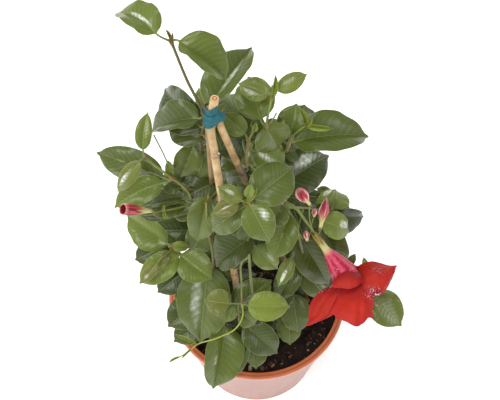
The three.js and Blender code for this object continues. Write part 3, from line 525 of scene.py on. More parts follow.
def through(points, step):
    """Closely spaced places on the smooth curve through some points."""
    points = [np.array(p, float) for p in points]
    padded = [2 * points[0] - points[1], *points, 2 * points[-1] - points[-2]]
    places = []
    for i in range(len(points) - 1):
        a, b, c, d = padded[i:i + 4]
        gap = [max(np.linalg.norm(q - p) ** 0.5, 1e-4) for p, q in ((a, b), (b, c), (c, d))]
        enter = ((b - a) / gap[0] - (c - a) / (gap[0] + gap[1]) + (c - b) / gap[1]) * gap[1]
        leave = ((c - b) / gap[1] - (d - b) / (gap[1] + gap[2]) + (d - c) / gap[2]) * gap[1]
        count = max(3, round(np.linalg.norm(c - b) / step))
        for t in np.arange(count) / count:
            places.append(b + enter * t + (3 * (c - b) - 2 * enter - leave) * t ** 2
                          + (2 * (b - c) + enter + leave) * t ** 3)
    return np.array([*places, points[-1]])


def put(mesh, **values):
    """Gives a mesh values for each of its places."""
    for key, numbers in values.items():
        mesh.attributes.new(key, "FLOAT", "POINT").data.foreach_set("value", np.array(numbers, np.float32))


def path_piece(name, paths, **values):
    """A piece of open chains of places in millimetres, with values for each place."""
    edges, start = [], 0
    for path in paths:
        edges += [(start + i, start + i + 1) for i in range(len(path) - 1)]
        start += len(path)
    mesh = bpy.data.meshes.new(name)
    mesh.from_pydata([tuple(p) for p in np.concatenate(paths) / 1000], edges, [])
    put(mesh, **{key: np.concatenate(numbers) for key, numbers in values.items()})
    return bring_in(name, mesh)


rods = bpy.data.node_groups.new("round_rods", "GeometryNodeTree")
given = tree_inputs(rods, ("Sides", "Int"), ("Material", "Material"))
nodes = Nodes(rods)
line = nodes.add("GeometryNodeMeshToCurve", {0: given["Geometry"]}).outputs[0]
circle = nodes.add("GeometryNodeCurvePrimitiveCircle", {"Resolution": given["Sides"], "Radius": 1.0}).outputs[0]
tube = nodes.add("GeometryNodeCurveToMesh",
                 {"Curve": line, "Profile Curve": circle, "Scale": named(nodes, "thick"),
                  "Fill Caps": True}).outputs[0]
tube = nodes.add("GeometryNodeSetShadeSmooth", {0: tube}).outputs[0]
nodes.add("NodeGroupOutput", {0: in_material(nodes, tube, given["Material"])})

cane_finish, nodes = new_material("dry_bamboo", Coat_Weight=0.08)
patches, grain = mottled(nodes, 70.0, 900.0)
ring, stain = nodes.carried("ring"), nodes.carried("stain")
fibre = nodes.grain(nodes.vector("MULTIPLY", nodes.own_place(), (1.0, 1.0, 0.06)), 1100.0, 2.0)
cane_colour = nodes.ramp(nodes.times_plus(patches, 0.6, nodes.times(fibre, 0.4)),
                         [(0.25, "#A07C4E"), (0.5, "#C8A571"), (0.75, "#DDC192")])
# Stains darken the bamboo in patches, together with painted shade low on the canes where they pass under the leaves;
# the nodes get a dark ring.
cane_colour = nodes.tinted(cane_colour,
                           (nodes.times(stain, nodes.remap(patches, 0.2, 0.9, 0.55, 1.0)), "#4E3C22"),
                           (ring, 0.8, "#7A5034"))
nodes.finish(Base_Color=cane_colour, Roughness=nodes.remap(patches, 0.0, 1.0, 0.42, 0.62),
             Normal=nodes.bump(nodes.plus(fibre, grain), 0.0002, 0.5))

end_finish, nodes = new_material("cut_cane_end", Roughness=0.75)
spot = nodes.own_place()
from_pith = 1.0
for cane in CANES:
    cane["tie"] = TIE_FOOT + np.array(cane["beside"])
    cane["tip"] = cane["tie"] + TIE_LEAN * cane["above"] + np.array(cane["head"])
    from_pith = nodes.math("MINIMUM", nodes.vector("DISTANCE", spot, tuple(cane["tip"] / 1000)), from_pith)
patches, grain = mottled(nodes, 500.0, 2500.0, 0.5)
nodes.finish(Base_Color=nodes.ramp(nodes.times(nodes.times_plus(grain, 0.0006, from_pith), 250.0),
                                   [(0.0, "#CDA578"), (0.25, "#D9B183"), (0.42, "#8C4A20"), (0.58, "#B57A45"),
                                    (0.78, "#DFC298"), (0.95, "#5E3A22")]), Normal=nodes.bump(grain, 0.0003, 0.6))

for cane in CANES:
    foot = np.array(cane["foot"], float)
    tie = cane["tie"]
    path = through([foot, foot + (tie - foot) * 0.5, foot + (tie - foot) * 0.93, tie + TIE_LEAN * 4, cane["tip"]],
                   CANE_STEP)
    run = np.concatenate([[0], np.cumsum(np.linalg.norm(np.diff(path, axis=0), axis=1))])
    from_node = (run + 31 * cane["seed"] + 46) % CANE_NODE_SPACING - CANE_NODE_SPACING / 2
    swelling = np.exp(-(from_node / 1.6) ** 2) - 0.55 * np.exp(-((from_node - 2.6) / 0.9) ** 2)
    wobble = np.array([0.05 * noise.noise(Vector((r * 0.05, cane["seed"], 0))) for r in run])
    radii = cane["foot_radius"] + (cane["radius"] - cane["foot_radius"]) * run / run[-1]
    radii = radii * (1 + 0.09 * swelling + wobble)
    stain = np.array([1.6 * noise.noise(Vector((r * 0.022, cane["seed"] + 2, 1))) for r in run])
    stain = np.maximum(np.clip(stain, 0, 1), cane["dull"] - 0.35)
    # Painted shade: below a given height, where the cane runs down under the foliage, it is painted dark.
    shade_below, shade_strength = cane["dark"]
    stain = np.maximum(stain, np.clip((shade_below - path[:, 2]) / 5, 0, 1) * shade_strength)
    piece = path_piece(cane["name"] + "_culm", [path], thick=[radii / 1000],
                       ring=[np.exp(-((from_node - 2.2) / 1.0) ** 2)], stain=[stain])
    grow(piece, rods, sides=CANE_SIDES, material=cane_finish)
    piece.data.materials.append(end_finish)
    for face in piece.data.polygons:
        if len(face.vertices) > 4 and face.center.z > 0.4:
            face.material_index = 1
            face.use_smooth = False
    piece.data.set_sharp_from_angle(angle=ROD_CREASE)
    stand(piece, "bamboo", cane["name"])

# Tape: a strip of teal stretch tape, wound about twice round the three canes. Its upper turn has slipped a little and
# stands off the canes, so its inside shows; that inside is painted near-black as painted shade.
TAPE_WIDTH = 14
TAPE_FROM = 4.5
TAPE_RISE = 7
TAPE_LIFT = 6
TAPE_FRONT_UP = 4
TAPE_RIGHT_UP = 4
TAPE_TURNS = 2.1
TAPE_START = 0.3
TAPE_SINKING_TURNS = 1.35
TAPE_LIFTED_AT = 0.62
TAPE_GAUGE = 0.3
SHORT_CANE_TOP = 12
TAPE_CLEARANCE = 0.55
TAPE_STEPS = 150
TAPE_ROWS = 8
WRAP_SIDES = 48


def grid_faces(rows, columns):
    """Faces of an open grid of places, row after row."""
    return [(i * columns + j, i * columns + j + 1, (i + 1) * columns + j + 1, (i + 1) * columns + j)[::-1]
            for i in range(rows - 1) for j in range(columns - 1)]


def hull(spots):
    """The convex outline of flat spots, counter-clockwise."""
    def chain(ordered):
        kept = []
        for spot in ordered:
            while len(kept) > 1 and np.cross(kept[-1] - kept[-2], spot - kept[-2]) <= 1e-9:
                kept.pop()
            kept.append(spot)
        return kept[:-1]
    ordered = sorted(spots, key=lambda s: (s[0], s[1]))
    return np.array(chain(ordered) + chain(ordered[::-1]))


def wrapping(canes):
    """The outline of a strip drawn tight round some canes, as a rule for its place at a direction."""
    ways = [np.array([math.cos(a), math.sin(a)]) for a in np.linspace(0, 2 * np.pi, WRAP_SIDES, endpoint=False)]
    outline = hull([np.array(cane["beside"][:2]) + (cane["radius"] + TAPE_CLEARANCE) * way
                    for cane in canes for way in ways])
    middle = outline.mean(axis=0)
    bearing = np.unwrap(np.arctan2(*(outline - middle).T[::-1]))
    closed = np.vstack([outline, outline[:1]])
    bearing = np.append(bearing, bearing[0] + 2 * np.pi)

    def spot(direction):
        direction = (direction - bearing[0]) % (2 * np.pi) + bearing[0]
        return np.array([np.interp(direction, bearing, closed[:, k]) for k in (0, 1)])
    return spot


all_round, upper_round = wrapping(CANES), wrapping([CANES[0], CANES[2]])
places = []
for i in range(TAPE_STEPS + 1):
    turn = TAPE_TURNS * i / TAPE_STEPS
    direction = 2 * math.pi * (turn + TAPE_START)
    outward = np.array([math.cos(direction), math.sin(direction)])
    rise = TAPE_RISE * (1 - min(turn, TAPE_SINKING_TURNS) / TAPE_SINKING_TURNS)
    for j in range(TAPE_ROWS + 1):
        v = j / TAPE_ROWS
        ruck = 0.18 * math.sin(11 * turn + 5 * v) + 0.35 * (v - 0.5) ** 2
        level = TAPE_FROM + rise + TAPE_WIDTH * v * (1 - 0.06 * math.sin(9 * turn)) + 0.5 * math.sin(7 * turn)
        level += TAPE_RIGHT_UP * math.cos(direction) * min(turn, 1) - TAPE_FRONT_UP * math.sin(direction)
        level += TAPE_LIFT * v * math.exp(-((turn - TAPE_LIFTED_AT) / 0.16) ** 2)
        closing = min(1, max(0, (level - SHORT_CANE_TOP) / 7))
        spot = all_round(direction) * (1 - closing) + upper_round(direction) * closing
        spread = spot + outward * (0.35 * turn + ruck)
        places.append(TIE_FOOT + [spread[0], spread[1], 0] + TIE_LEAN * level)
faces = grid_faces(TAPE_STEPS + 1, TAPE_ROWS + 1)

tape_finish, nodes = new_material("teal_stretch_tape", Specular_IOR_Level=0.3)
patches, grain = mottled(nodes, 260.0, 1600.0, 0.4)
nodes.finish(Base_Color=nodes.blend(patches, "#0A4F58", "#176973"), Roughness=nodes.remap(grain, 0.3, 0.7, 0.5, 0.7),
             Normal=nodes.bump(nodes.plus(grain, patches), 0.0003, 0.6))
# Painted shade: the tape's inside is painted a near-black teal.
tape_inside_shade_finish, nodes = new_material("tape_glue_side", Roughness=0.5)
patches, grain = mottled(nodes, 260.0, 1600.0, 0.4)
nodes.finish(Base_Color=nodes.blend(patches, "#0A1719", "#13292C"), Normal=nodes.bump(grain, 0.0003, 0.6))
tape = new_piece("wound_tape", places, faces, tape_finish, tape_inside_shade_finish)
thicken = tape.modifiers.new("gauge", "SOLIDIFY")
thicken.thickness = TAPE_GAUGE / 1000
thicken.offset = 0
thicken.material_offset = 1
settle(tape)
stand(tape, "binding_tape", "tape")

# Leafy stems: eight twining stems that come up out of the soil. Each carries pairs of leaves on short stalks, young
# folded shoots and, low down, older and darker leaves. A blade is a thin, glossy sheet round its midrib.
STANDING_ABOVE = 12
STEM_TAPER = 0.35
STEM_SLIMMING = 0.85
THINNEST_STEM = 0.62
STALK_RADIUS = 0.85
STALK_STEPS = 9
RIB_STEPS = 22
JOINT_REACH = 2.5
JOINT_LENGTH = 2.6
BLADE_THICKNESS = 0.55
LOWEST_PAIR = 134
HIGHEST_PAIR = 325
PAIR_SPACING = 12
OLD_LEAF_LENGTH = 34
OLD_LEAF_DROP = 7
OLD_STALK = 5
SHELTER_REACH = 10
GREATEST_LEAD = 0.2
BLADE_ROWS = 37
BLADE_COLUMNS = 13
VEIN_PAIRS = 11.0
NO_SHINE = (0, 0, 0, 0.32, 0.26)
STEM_STEP = 2.2
STEM_SIDES = 10
WOOD_TOP = 330
WOOD_FADE = 150
JOINT_SWELLING = 0.24
SHOOT_SWELLING = 0.12
JOINT_REDNESS = 0.8
CROWN_RADIUS = 88
LOW_CROWN_RADIUS = 78
LOW_CROWN_TOP = 170
OPEN_SOIL_TOP = 240
SHEET_CREASE = math.radians(60)


def xyz(x, y, z):
    return np.array([x, y, z], float)


def at(across, down, height):
    """The place at a height in millimetres that stands under a spot of the front drawing."""
    rise = (PICTURE_HEIGHT / 2 - down) / VIEW_DISTANCE
    right = (across - PICTURE_WIDTH / 2) / VIEW_DISTANCE
    above = height - POT_HEIGHT
    y = (rise * VIEW_DISTANCE + LIP_DOWN - PICTURE_HEIGHT / 2 - above * (UPWARD[2] + rise * SIGHT[2])) \
        / (SIGHT[2] + rise * SIGHT[1])
    depth = VIEW_DISTANCE - y * SIGHT[1] - above * SIGHT[2]
    return xyz(right * depth - (LIP_ACROSS - PICTURE_WIDTH / 2), y, height)


def leaf(joint, base, tip, width, turn=0, fold=14, bow=0.1, **looks):
    """A leaf: where its stalk leaves the stem, its blade's base and tip, its width, and how the blade is held."""
    return dict(joint=at(*joint), base=at(*base), tip=at(*tip), width=width, turn=turn, fold=fold, bow=bow, **looks)


def back_leaf(joint, base, tip, width, age=-0.6):
    """A leaf at the back, whose places are given across, back and up."""
    return dict(joint=xyz(*joint), base=xyz(*base), tip=xyz(*tip), width=width, turn=0, fold=14, bow=0.14, age=age)


def spear(foot, point, width, red=0):
    """A young leaf, still folded shut: it stands on the stem at its foot."""
    return dict(joint=at(*foot), base=at(*foot), tip=at(*point), width=1.9 * width, turn=20, fold=52, bow=0.05,
                age=0.8, red=red, folded=True)


LEAFY_STEMS = []
LEAFY_STEMS.append(dict(name="leafy_stem_left_back", routes=[
    dict(radius=2.1, woody=0.75, points=[xyz(-54, 44, 92), xyz(-54, 38, 200), xyz(-51, 32, 300), xyz(-47.5, 23,
        390), at(203, 113, 448), at(186.7, 79.5, 478), at(171, 41, 500)]),
    dict(radius=0.9, points=[at(203, 114, 446), at(213, 113, 442), at(222, 111, 440), at(231, 89, 455)]),
], leaves=[
    leaf([171, 41, 500], [156, 33.5, 504], [117.5, 13.5, 482], 33, 30, 30, age=0.1, shine=(0.95, 0.13, 0.42, 0.1,
         0.3)),
    leaf([171, 41, 500], [179, 41, 501], [226.8, 80.5, 470], 37, -32, 32, age=0.05, swerve=0.8, shine=(0.7, -0.1,
         0.1, 0.15, 0.06)),
    leaf([203, 113, 448], [209, 106, 449], [252, 47.5, 445], 38, -27, 29, age=-0.15, swerve=2.7, shine=(0.8, 0.2,
         0.4, 0.22, 0.4)),
    leaf([203, 113, 448], [206, 108, 438], [198.5, 88, 434], 12, 0, 8, age=0.1, red=0.3),
    leaf([203, 117, 444], [199, 118.5, 444], [151.5, 133.8, 400], 33.5, 34, 34, age=-0.4),
    leaf([204, 124, 430], [201, 127, 426], [165.5, 88, 405], 37, -22, 22, age=-0.85, dark=0.3, swerve=-1.5),
    leaf([204, 137, 403], [206, 139, 400], [177, 108.5, 385], 43, 0, 8, age=-0.7, shine=(0.35, 0.1, 0.45, 0.3,
         0.15)),
    leaf([203, 148, 372], [207, 150, 352], [193, 138, 348], 15, 0, 10, age=-0.8),
    leaf([204, 137, 403], [213, 127, 390], [222, 149, 384], 13, 0, 8, age=-0.6),
    leaf([203, 148, 378], [193.5, 146, 366], [180.5, 177, 336], 25, -10, 15),
    leaf([203, 148, 372], [207, 149, 358], [197, 178.5, 332], 29, 0, 6, age=0.2, shine=(0.35, 0.2, 0.4, 0.5,
         0.35)),
    back_leaf([-53, 37, 224], [-58, 46, 225], [-84, 92, 206], 36),
    back_leaf([-54, 38, 195], [-64, 40, 196], [-112, 48, 180], 36),
    back_leaf([-52, 35, 235], [-48, 46, 236], [-30, 100, 214], 38),
], spears=[
    spear([171, 41, 500], [165.5, 29, 508], 2.4, 1.2),
    spear([171.5, 41, 500], [172.5, 32.5, 507], 2, 1),
]))
LEAFY_STEMS.append(dict(name="leafy_stem_back", routes=[
    dict(radius=1.8, points=[xyz(20, 56, 92), xyz(12, 50, 220), xyz(-2, 34, 320), at(246, 159, 385), at(249, 140,
        402), at(253, 131, 408)]),
], leaves=[
    leaf([248.5, 142, 400], [245, 134, 404], [222, 113, 413], 18, age=0.15),
    leaf([248.5, 145, 397], [246, 136, 388], [226, 94, 380], 38, -10, 16, age=-0.7),
    leaf([247, 153, 390], [253.5, 143, 369], [285, 165.5, 344], 27, 0, 6, age=0.3, shine=(0.85, 0.3, 0.4, 0.3,
         0.35)),
    leaf([246, 163, 380], [240, 169, 356], [222, 156, 344], 19, 0, 16, age=-0.6),
    leaf([246.5, 159, 385], [243, 158, 366], [219, 136, 350], 26, 10, 16, age=-0.7, shine=(0.3, 0.2, 0.4, 0.4,
         0.4)),
    leaf([247, 166, 376], [245, 176, 340], [226, 178, 318], 22, age=-0.85),
    leaf([247, 166, 376], [232, 158, 340], [217, 168, 330], 18, 0, 12, age=-0.85),
    leaf([247, 166, 376], [262, 180, 350], [240, 171.5, 352], 17, age=-0.95),
    leaf([248.5, 145, 397], [255, 141, 372], [243, 110, 372], 26, 10, 12, age=-0.5, shine=(0.4, 0.3, 0.5, 0.4,
         0.4)),
    back_leaf([4, 42, 280], [2, 52, 282], [-14, 104, 262], 38),
    back_leaf([8, 46, 250], [16, 56, 251], [44, 104, 226], 38),
    back_leaf([14, 52, 190], [8, 64, 190], [-8, 116, 168], 38, age=-0.7),
], spears=[
    spear([253, 131, 408], [256, 122, 418], 4),
    spear([252.5, 132, 407], [250.5, 124, 414], 3),
]))
LEAFY_STEMS.append(dict(name="leafy_stem_back_right", routes=[
    dict(radius=1.9, points=[xyz(54, 46, 92), xyz(52, 48, 200), xyz(38, 50, 280), xyz(24, 46, 340), xyz(13, 37,
        380), at(266.5, 126, 405), at(272, 97, 420)]),
    dict(radius=1.7, points=[xyz(26, 46.6, 336), at(287, 150, 362), at(293, 136, 375), at(306, 125, 385)]),
    dict(radius=0.6, points=[at(267.5, 126, 404), at(272, 121, 406), at(276.5, 113, 412)]),
], leaves=[
    leaf([272, 97, 420], [269.5, 94.5, 421], [238.5, 83.5, 412], 20, 0, 6, age=0.4, red=0.15, shine=(0.8, -0.4,
         0.45, 0.25, 0.4)),
    leaf([266.5, 127, 404.5], [260.5, 119.5, 403], [248.5, 76.5, 397], 34, 0, 12, age=0.15),
    leaf([272, 97, 420], [277.5, 91, 421], [307.2, 74.3, 424], 15.5, 10, 6, age=0.45, red=0.15, swerve=-1,
         shine=(0.9, -0.25, 0.35, 0.4, 0.3)),
    leaf([266.5, 127.5, 403], [264.5, 127, 402], [278, 148, 370], 34, age=-0.15),
    leaf([267.5, 126, 404], [267, 127.5, 398], [277, 119.5, 390], 9, 0, 8, age=-0.3),
    leaf([289, 145, 366], [291, 134, 374], [296.5, 103.5, 390], 28, 0, 6, age=0.15, shine=(0.6, -0.6, 0.35, 0.12,
         0.1)),
    leaf([289, 145, 366], [282, 139, 355], [293, 151, 345], 14, 0, 10, age=-0.7),
    leaf([291, 140, 370], [299, 130, 368], [304.5, 104.5, 372], 26, 0, 12, age=-0.5),
    leaf([291, 140, 370], [294, 142, 371], [368.5, 137, 350], 44, -26, 26, age=-0.3),
    leaf([291, 147, 362], [284, 152, 350], [301, 150, 336], 20, age=-0.7),
    back_leaf([51, 48, 196], [60, 54, 196], [92, 84, 174], 38),
    back_leaf([45, 49, 236], [55, 48, 236], [89, 36, 214], 34),
    back_leaf([30, 48, 316], [34, 58, 316], [50, 98, 292], 32),
], spears=[
    spear([273, 97, 420], [275.5, 74.5, 440], 4.4),
    spear([272, 97, 420], [271.5, 83.5, 433], 2.2),
    spear([306, 125, 385], [299, 107.5, 398], 4.6),
    spear([306, 125, 385], [312, 117, 394], 4.2),
    spear([306, 125, 385], [333.5, 128.5, 386], 4.6),
]))
LEAFY_STEMS.append(dict(name="leafy_stem_left", routes=[
    dict(radius=1.9, points=[xyz(-58, -4, 92), xyz(-62, -4, 200), xyz(-60, 0, 280), at(192, 201, 322), at(186,
        189, 340), at(165, 173, 358), at(145, 158.5, 370)]),
    dict(radius=1.4, points=[xyz(-61.5, -3, 236), at(180, 254, 257), at(169, 246, 266)]),
    dict(radius=0.6, points=[at(178, 184, 347), at(171, 174, 354), at(166.5, 160.5, 362), at(153.6, 134.5, 376)]),
    dict(radius=1.1, points=[at(192, 203, 318), at(176, 208.5, 321), at(159, 211.5, 325)]),
], leaves=[
    leaf([145, 158.5, 370], [143, 150, 373], [148, 112, 395], 14.5, 0, 8, age=0.25, swerve=-1, shine=(0.5, 0.3,
         0.6, 0.3, 0.3)),
    leaf([145, 158.5, 370], [140, 161, 371], [117.5, 192, 336], 14.5, 0, 8, age=0.2, red=0.25, shine=(0.9, 0.25,
         0.5, 0.3, 0.35)),
    leaf([168, 176, 355], [163.5, 178, 338], [96.5, 152.5, 325], 30.5, 0, 15, age=-0.5, swerve=0.7),
    leaf([173, 178, 352], [171, 177, 352], [168, 160, 361], 8, 0, 16, age=0.2),
    leaf([173, 179, 352], [163, 183, 338], [114.5, 208, 312], 24, 4, age=0.25, swerve=2.5),
    leaf([192, 203, 318], [186, 204, 308], [150, 209, 292], 30, 20, 20, age=-0.4),
    leaf([186, 203, 312], [168, 213, 296], [140, 216, 286], 13, 0, 10, age=-0.9),
    leaf([192, 205, 314], [191, 213, 300], [174, 217, 290], 12, 0, 10, age=-0.9),
    leaf([190, 198, 326], [187, 196, 318], [150, 205, 300], 20, 25, 28, age=-0.9),
    leaf([186, 203, 312], [166, 200, 300], [137, 208, 286], 20, age=-0.9),
    leaf([186, 189, 340], [182, 186, 322], [160, 179, 314], 20, age=-0.8),
    leaf([186, 189, 340], [199, 182, 322], [180, 168, 318], 18, 0, 10, age=-0.8),
    leaf([170, 180, 350], [168, 180, 330], [182, 165, 322], 16, 0, 10, age=-0.8),
    leaf([170, 246.7, 265], [167.5, 243.5, 266], [127.5, 215, 262], 32, -18, 19, age=0.3, shine=(0.7, -0.2, 0.08,
         0.2, 0.08)),
    leaf([170, 246.7, 265], [172, 246, 267], [190, 246.5, 262], 10, 0, 16, age=0.45),
    leaf([180, 254, 257], [178.5, 255.5, 258], [139.5, 283.5, 238], 27, age=0.45, swerve=1),
    leaf([173, 249, 262], [157.5, 262.5, 264], [140.5, 284, 246], 11, 0, 8, age=0.35, red=0.6, shine=(0.8, 0, 0.6,
         0.4, 0.15)),
    leaf([172, 248, 263], [168.5, 253, 264], [160, 264, 256], 9, 0, 24, age=0.1, red=0.6),
    leaf([180, 254, 257], [180.5, 255, 258], [212, 278.8, 252], 31, 0, 12, age=0.1),
    leaf([188, 248, 240], [165, 246, 232], [135, 260, 218], 25, age=-0.6, dark=0.4),
    leaf([190, 262, 222], [186, 270, 220], [157.5, 292.5, 204], 26, age=-0.6, dark=0.4),
    back_leaf([-62, -3, 222], [-72, 0, 223], [-116, 22, 208], 34, age=-0.7),
], spears=[
    spear([162, 210.5, 324], [164, 204, 332], 2.4),
    spear([164, 210.5, 323.6], [167, 219, 316], 2.6),
]))
LEAFY_STEMS.append(dict(name="leafy_stem_front_left", routes=[
    dict(radius=1.8, points=[xyz(-38, -38, 92), xyz(-44, -32, 180), at(213, 257, 258), xyz(-44, -15, 300),
        xyz(-44, -11, 345)]),
], leaves=[
    leaf([213, 262, 246], [208, 264, 243], [200.5, 342.5, 168], 52, 4, 12, 0.02, age=-0.05, shine=(0.72, 0.3,
         0.42, 0.24, 0.5)),
    leaf([208, 203, 330], [208, 196, 334], [197, 242, 288], 27, 0, 18, age=-0.1),
    leaf([207, 188, 343], [219, 180.5, 330], [182, 199, 322], 28, 4, 12, age=-0.75, shine=(0.3, -0.3, 0.5, 0.4,
         0.4)),
    leaf([210, 230, 286], [206, 227, 280], [192, 252, 250], 26, age=-0.7),
    leaf([213, 296, 206], [200, 300, 180], [168, 326.5, 166], 34, age=-0.6, dark=0.3),
    leaf([214, 310, 180], [204, 319, 166], [174, 342, 150], 27, age=-0.6, dark=0.3),
], spears=[]))
LEAFY_STEMS.append(dict(name="leafy_stem_front", routes=[
    dict(radius=2, points=[xyz(4, -54, 92), xyz(-1, -49, 180), xyz(-6, -42, 250), xyz(-8, -36, 300), at(247, 203,
        365)]),
    dict(radius=1.4, points=[xyz(-7.4, -37, 293), at(241.5, 263, 280), at(241.5, 283, 256), at(241.5, 302.5,
        232)]),
    dict(radius=0.75, woody=-1, points=[at(241.5, 302.5, 232), at(243, 313, 224), at(241, 321, 217), at(234, 330,
        209), at(222, 336, 206), at(213, 339.5, 203), at(198, 344, 198), at(188, 352, 190), at(170, 361.5, 178)]),
], leaves=[
    leaf([246.5, 204, 364], [244, 207, 363], [212, 231, 330], 27, 10, 15, age=-0.5),
    leaf([247, 203, 366], [238.5, 202, 369], [212.5, 214, 362], 15, 0, 8, age=0.25, red=0.6, shine=(0.75, 0.05,
         0.4, 0.16, 0.35)),
    leaf([247.5, 204, 365], [249.5, 204, 367], [269.7, 241.8, 338], 28, 0, 6, age=0.15, shine=(1, -0.5, 0.3, 0.36,
         0.22)),
    leaf([247, 204, 362], [242, 200.5, 369], [217.5, 186.5, 379], 15, 0, 4, age=0.4, red=0.2, shine=(0.7, 0.15,
         0.55, 0.25, 0.2)),
    leaf([247.5, 210, 350], [249, 218, 334], [233, 238, 312], 22, age=-0.9),
    leaf([247, 203, 360], [244, 200, 350], [236, 182, 352], 14, 0, 8, age=-0.7),
    leaf([247, 210, 350], [250, 207, 342], [214, 203, 340], 20, 0, 8, age=-0.8),
    leaf([247, 203, 366], [247.5, 198, 371], [251.5, 184, 384], 9, 0, 20, age=0.6),
    leaf([248, 203, 365], [253, 199, 368], [293, 167, 362], 37, 0, 13, age=-0.25),
    leaf([250, 243, 312], [253, 237, 318], [216.3, 266.3, 286], 39, 26, 26, age=-0.85, dark=0.5),
    leaf([250, 252, 301], [254.5, 246, 298], [277.7, 269, 268], 21, 0, 8, age=0.2, shine=(0.5, -0.3, 0.5, 0.2,
         0.2)),
    leaf([251, 311, 200], [233, 307, 208], [272, 280, 224], 30, age=-0.6),
    leaf([241.5, 302.5, 232], [247.5, 305, 231], [290, 306.5, 220], 28, 0, 10, age=0.68),
    leaf([241.5, 302.5, 232], [230, 303.5, 238], [204.5, 300, 240], 25, age=0.2, red=0.4),
    leaf([241, 302, 233], [235, 306, 233], [226, 322, 228], 12, age=0.05),
    leaf([243, 300, 232], [241, 312, 216], [254.5, 325, 200], 19, 0, 16, age=0.05),
    leaf([253, 318, 188], [245, 324, 184], [277.4, 353.4, 152], 31, 0, 16, age=-0.4),
    leaf([250, 318, 188], [224, 325, 178], [212.7, 388.5, 128], 43, -22, 24, 0.1, age=-0.15, shine=(0.7, 0.35,
         0.45, 0.15, 0.1)),
    leaf([252, 322, 182], [247, 334, 168], [235.5, 376, 138], 22, 20, 18, age=-0.55),
    leaf([253, 322, 182], [255, 336, 160], [256, 369, 137], 22, -10, 18, age=-0.55),
], spears=[
    spear([247, 203, 366], [258, 187.5, 382], 2.4),
    spear([248, 203, 366], [252, 190, 380], 2),
    spear([192, 348.5, 193.5], [181.5, 359, 185], 2),
    spear([179, 358, 185], [168.8, 362.5, 178], 2.2),
    spear([197, 344.5, 197.4], [174, 334, 202], 2.6),
]))
LEAFY_STEMS.append(dict(name="leafy_stem_right", routes=[
    dict(radius=2.1, points=[xyz(50, -10, 92), xyz(46, -10, 200), xyz(34, -7, 290), at(284.5, 202, 330), at(281,
        192, 340)]),
    dict(radius=1.9, points=[at(284.5, 202, 330), at(295.5, 208, 326), at(305, 220, 311), at(313, 231, 297),
        at(315.4, 235, 293)]),
    dict(radius=1.3, points=[at(286, 206, 322), at(306, 208, 300), at(320, 210, 284), at(331, 210, 280)]),
    dict(radius=1.5, points=[xyz(46, -10, 186), xyz(66, -18, 186), xyz(88, -26, 194), xyz(98, -29, 198)]),
    dict(radius=0.8, points=[at(312, 229.5, 299), at(309.5, 218, 314), at(309.5, 206, 331)]),
    dict(radius=0.8, points=[at(313.5, 231.5, 296.5), at(318, 234, 296), at(320, 231, 299)]),
    dict(radius=0.6, points=[at(312, 229.5, 299), at(308.5, 238, 292), at(308.3, 241, 292)]),
    dict(radius=0.6, points=[at(310.5, 222, 303), at(313.4, 218, 308)]),
], leaves=[
    leaf([281, 192, 340], [280, 186.5, 336], [329, 155.5, 320], 39, 0, 6, age=-0.6, dark=0.3, swerve=-1.2,
         shine=(0.8, -0.4, 0.55, 0.33, 0.35)),
    leaf([285, 204, 326], [288, 213, 320], [274, 259.3, 292], 29, 0, 15, age=0.05),
    leaf([284, 202, 331], [281, 204, 334], [271, 227, 318], 23, 0, 15, age=-0.2),
    leaf([296, 238, 264], [299, 234, 256], [328, 284, 200], 36, 0, 16, age=-0.45),
    leaf([293, 222, 284], [303, 236, 270], [290, 198, 292], 26, 0, 12, age=-0.6),
    leaf([300, 210, 300], [303, 226, 274], [322, 198, 280], 24, 0, 12, age=-0.35),
    leaf([290, 205, 312], [284, 197, 300], [308, 199, 290], 17, 0, 10, age=-0.9),
    leaf([300, 210, 300], [304, 196, 288], [323, 197, 284], 13, 0, 10, age=-0.8),
    leaf([297, 232, 272], [317, 220, 250], [344, 270, 196], 31, age=-0.3),
    leaf([313, 235, 290], [317, 238, 268], [299, 225, 266], 14, 0, 8, age=-0.6),
    leaf([345, 263, 214], [347, 267, 224], [355.5, 253.5, 232], 8, 0, 10, age=-0.3),
    leaf([320, 210, 284], [322, 221, 286], [348.7, 232.7, 262], 26, -14, age=0.55, shine=(1, -0.35, 0.62, 0.35,
         0.18)),
    leaf([320, 210, 284], [327, 217.5, 262], [363.5, 216, 236], 28, 24, 24, age=-0.75, dark=0.45),
    leaf([331, 210, 280], [332, 208.5, 278], [335, 189.5, 262], 30, 0, 6, age=0.4, shine=(0.9, -0.45, 0.6, 0.2,
         0.3)),
    leaf([331, 203, 282], [333, 190.5, 287], [315.5, 204, 284], 10, age=0.6, shine=(0.9, 0.4, 0.3, 0.5, 0.3)),
    leaf([331, 203, 282], [331, 193, 276], [316.5, 188.5, 272], 9, 0, 8, age=-0.2),
    leaf([297, 254, 246], [292, 258, 246], [278, 287, 224], 14, 0, 2, age=0.25, shine=(1, 0, 0.6, 0.3, 0.3)),
    leaf([298, 262, 232], [296, 264, 226], [277, 300, 200], 24, age=-0.5),
    leaf([299, 262, 232], [302, 268, 216], [328, 299, 182], 25, 0, 1, age=-0.4, shine=(0.4, -0.4, 0.5, 0.25,
         0.3)),
    leaf([371, 292, 200], [373.5, 292, 199], [401.5, 326, 182], 32.5, 0, 6, age=0.15, swerve=1, shine=(0.42, 0.1,
         0.5, 0.6, 0.55)),
    leaf([371, 297, 203], [373, 300.5, 206], [380.5, 310, 208], 6, 0, 10, age=1, shine=(0.8, 0, 0.5, 0.5, 0.4)),
    leaf([367, 280, 203], [366.5, 270, 212], [363.5, 257, 217], 6, 0, 10, age=1),
], spears=[
    spear([367, 286, 202], [368, 262, 216], 4),
    spear([371, 297, 203], [377, 312, 206], 3),
]))
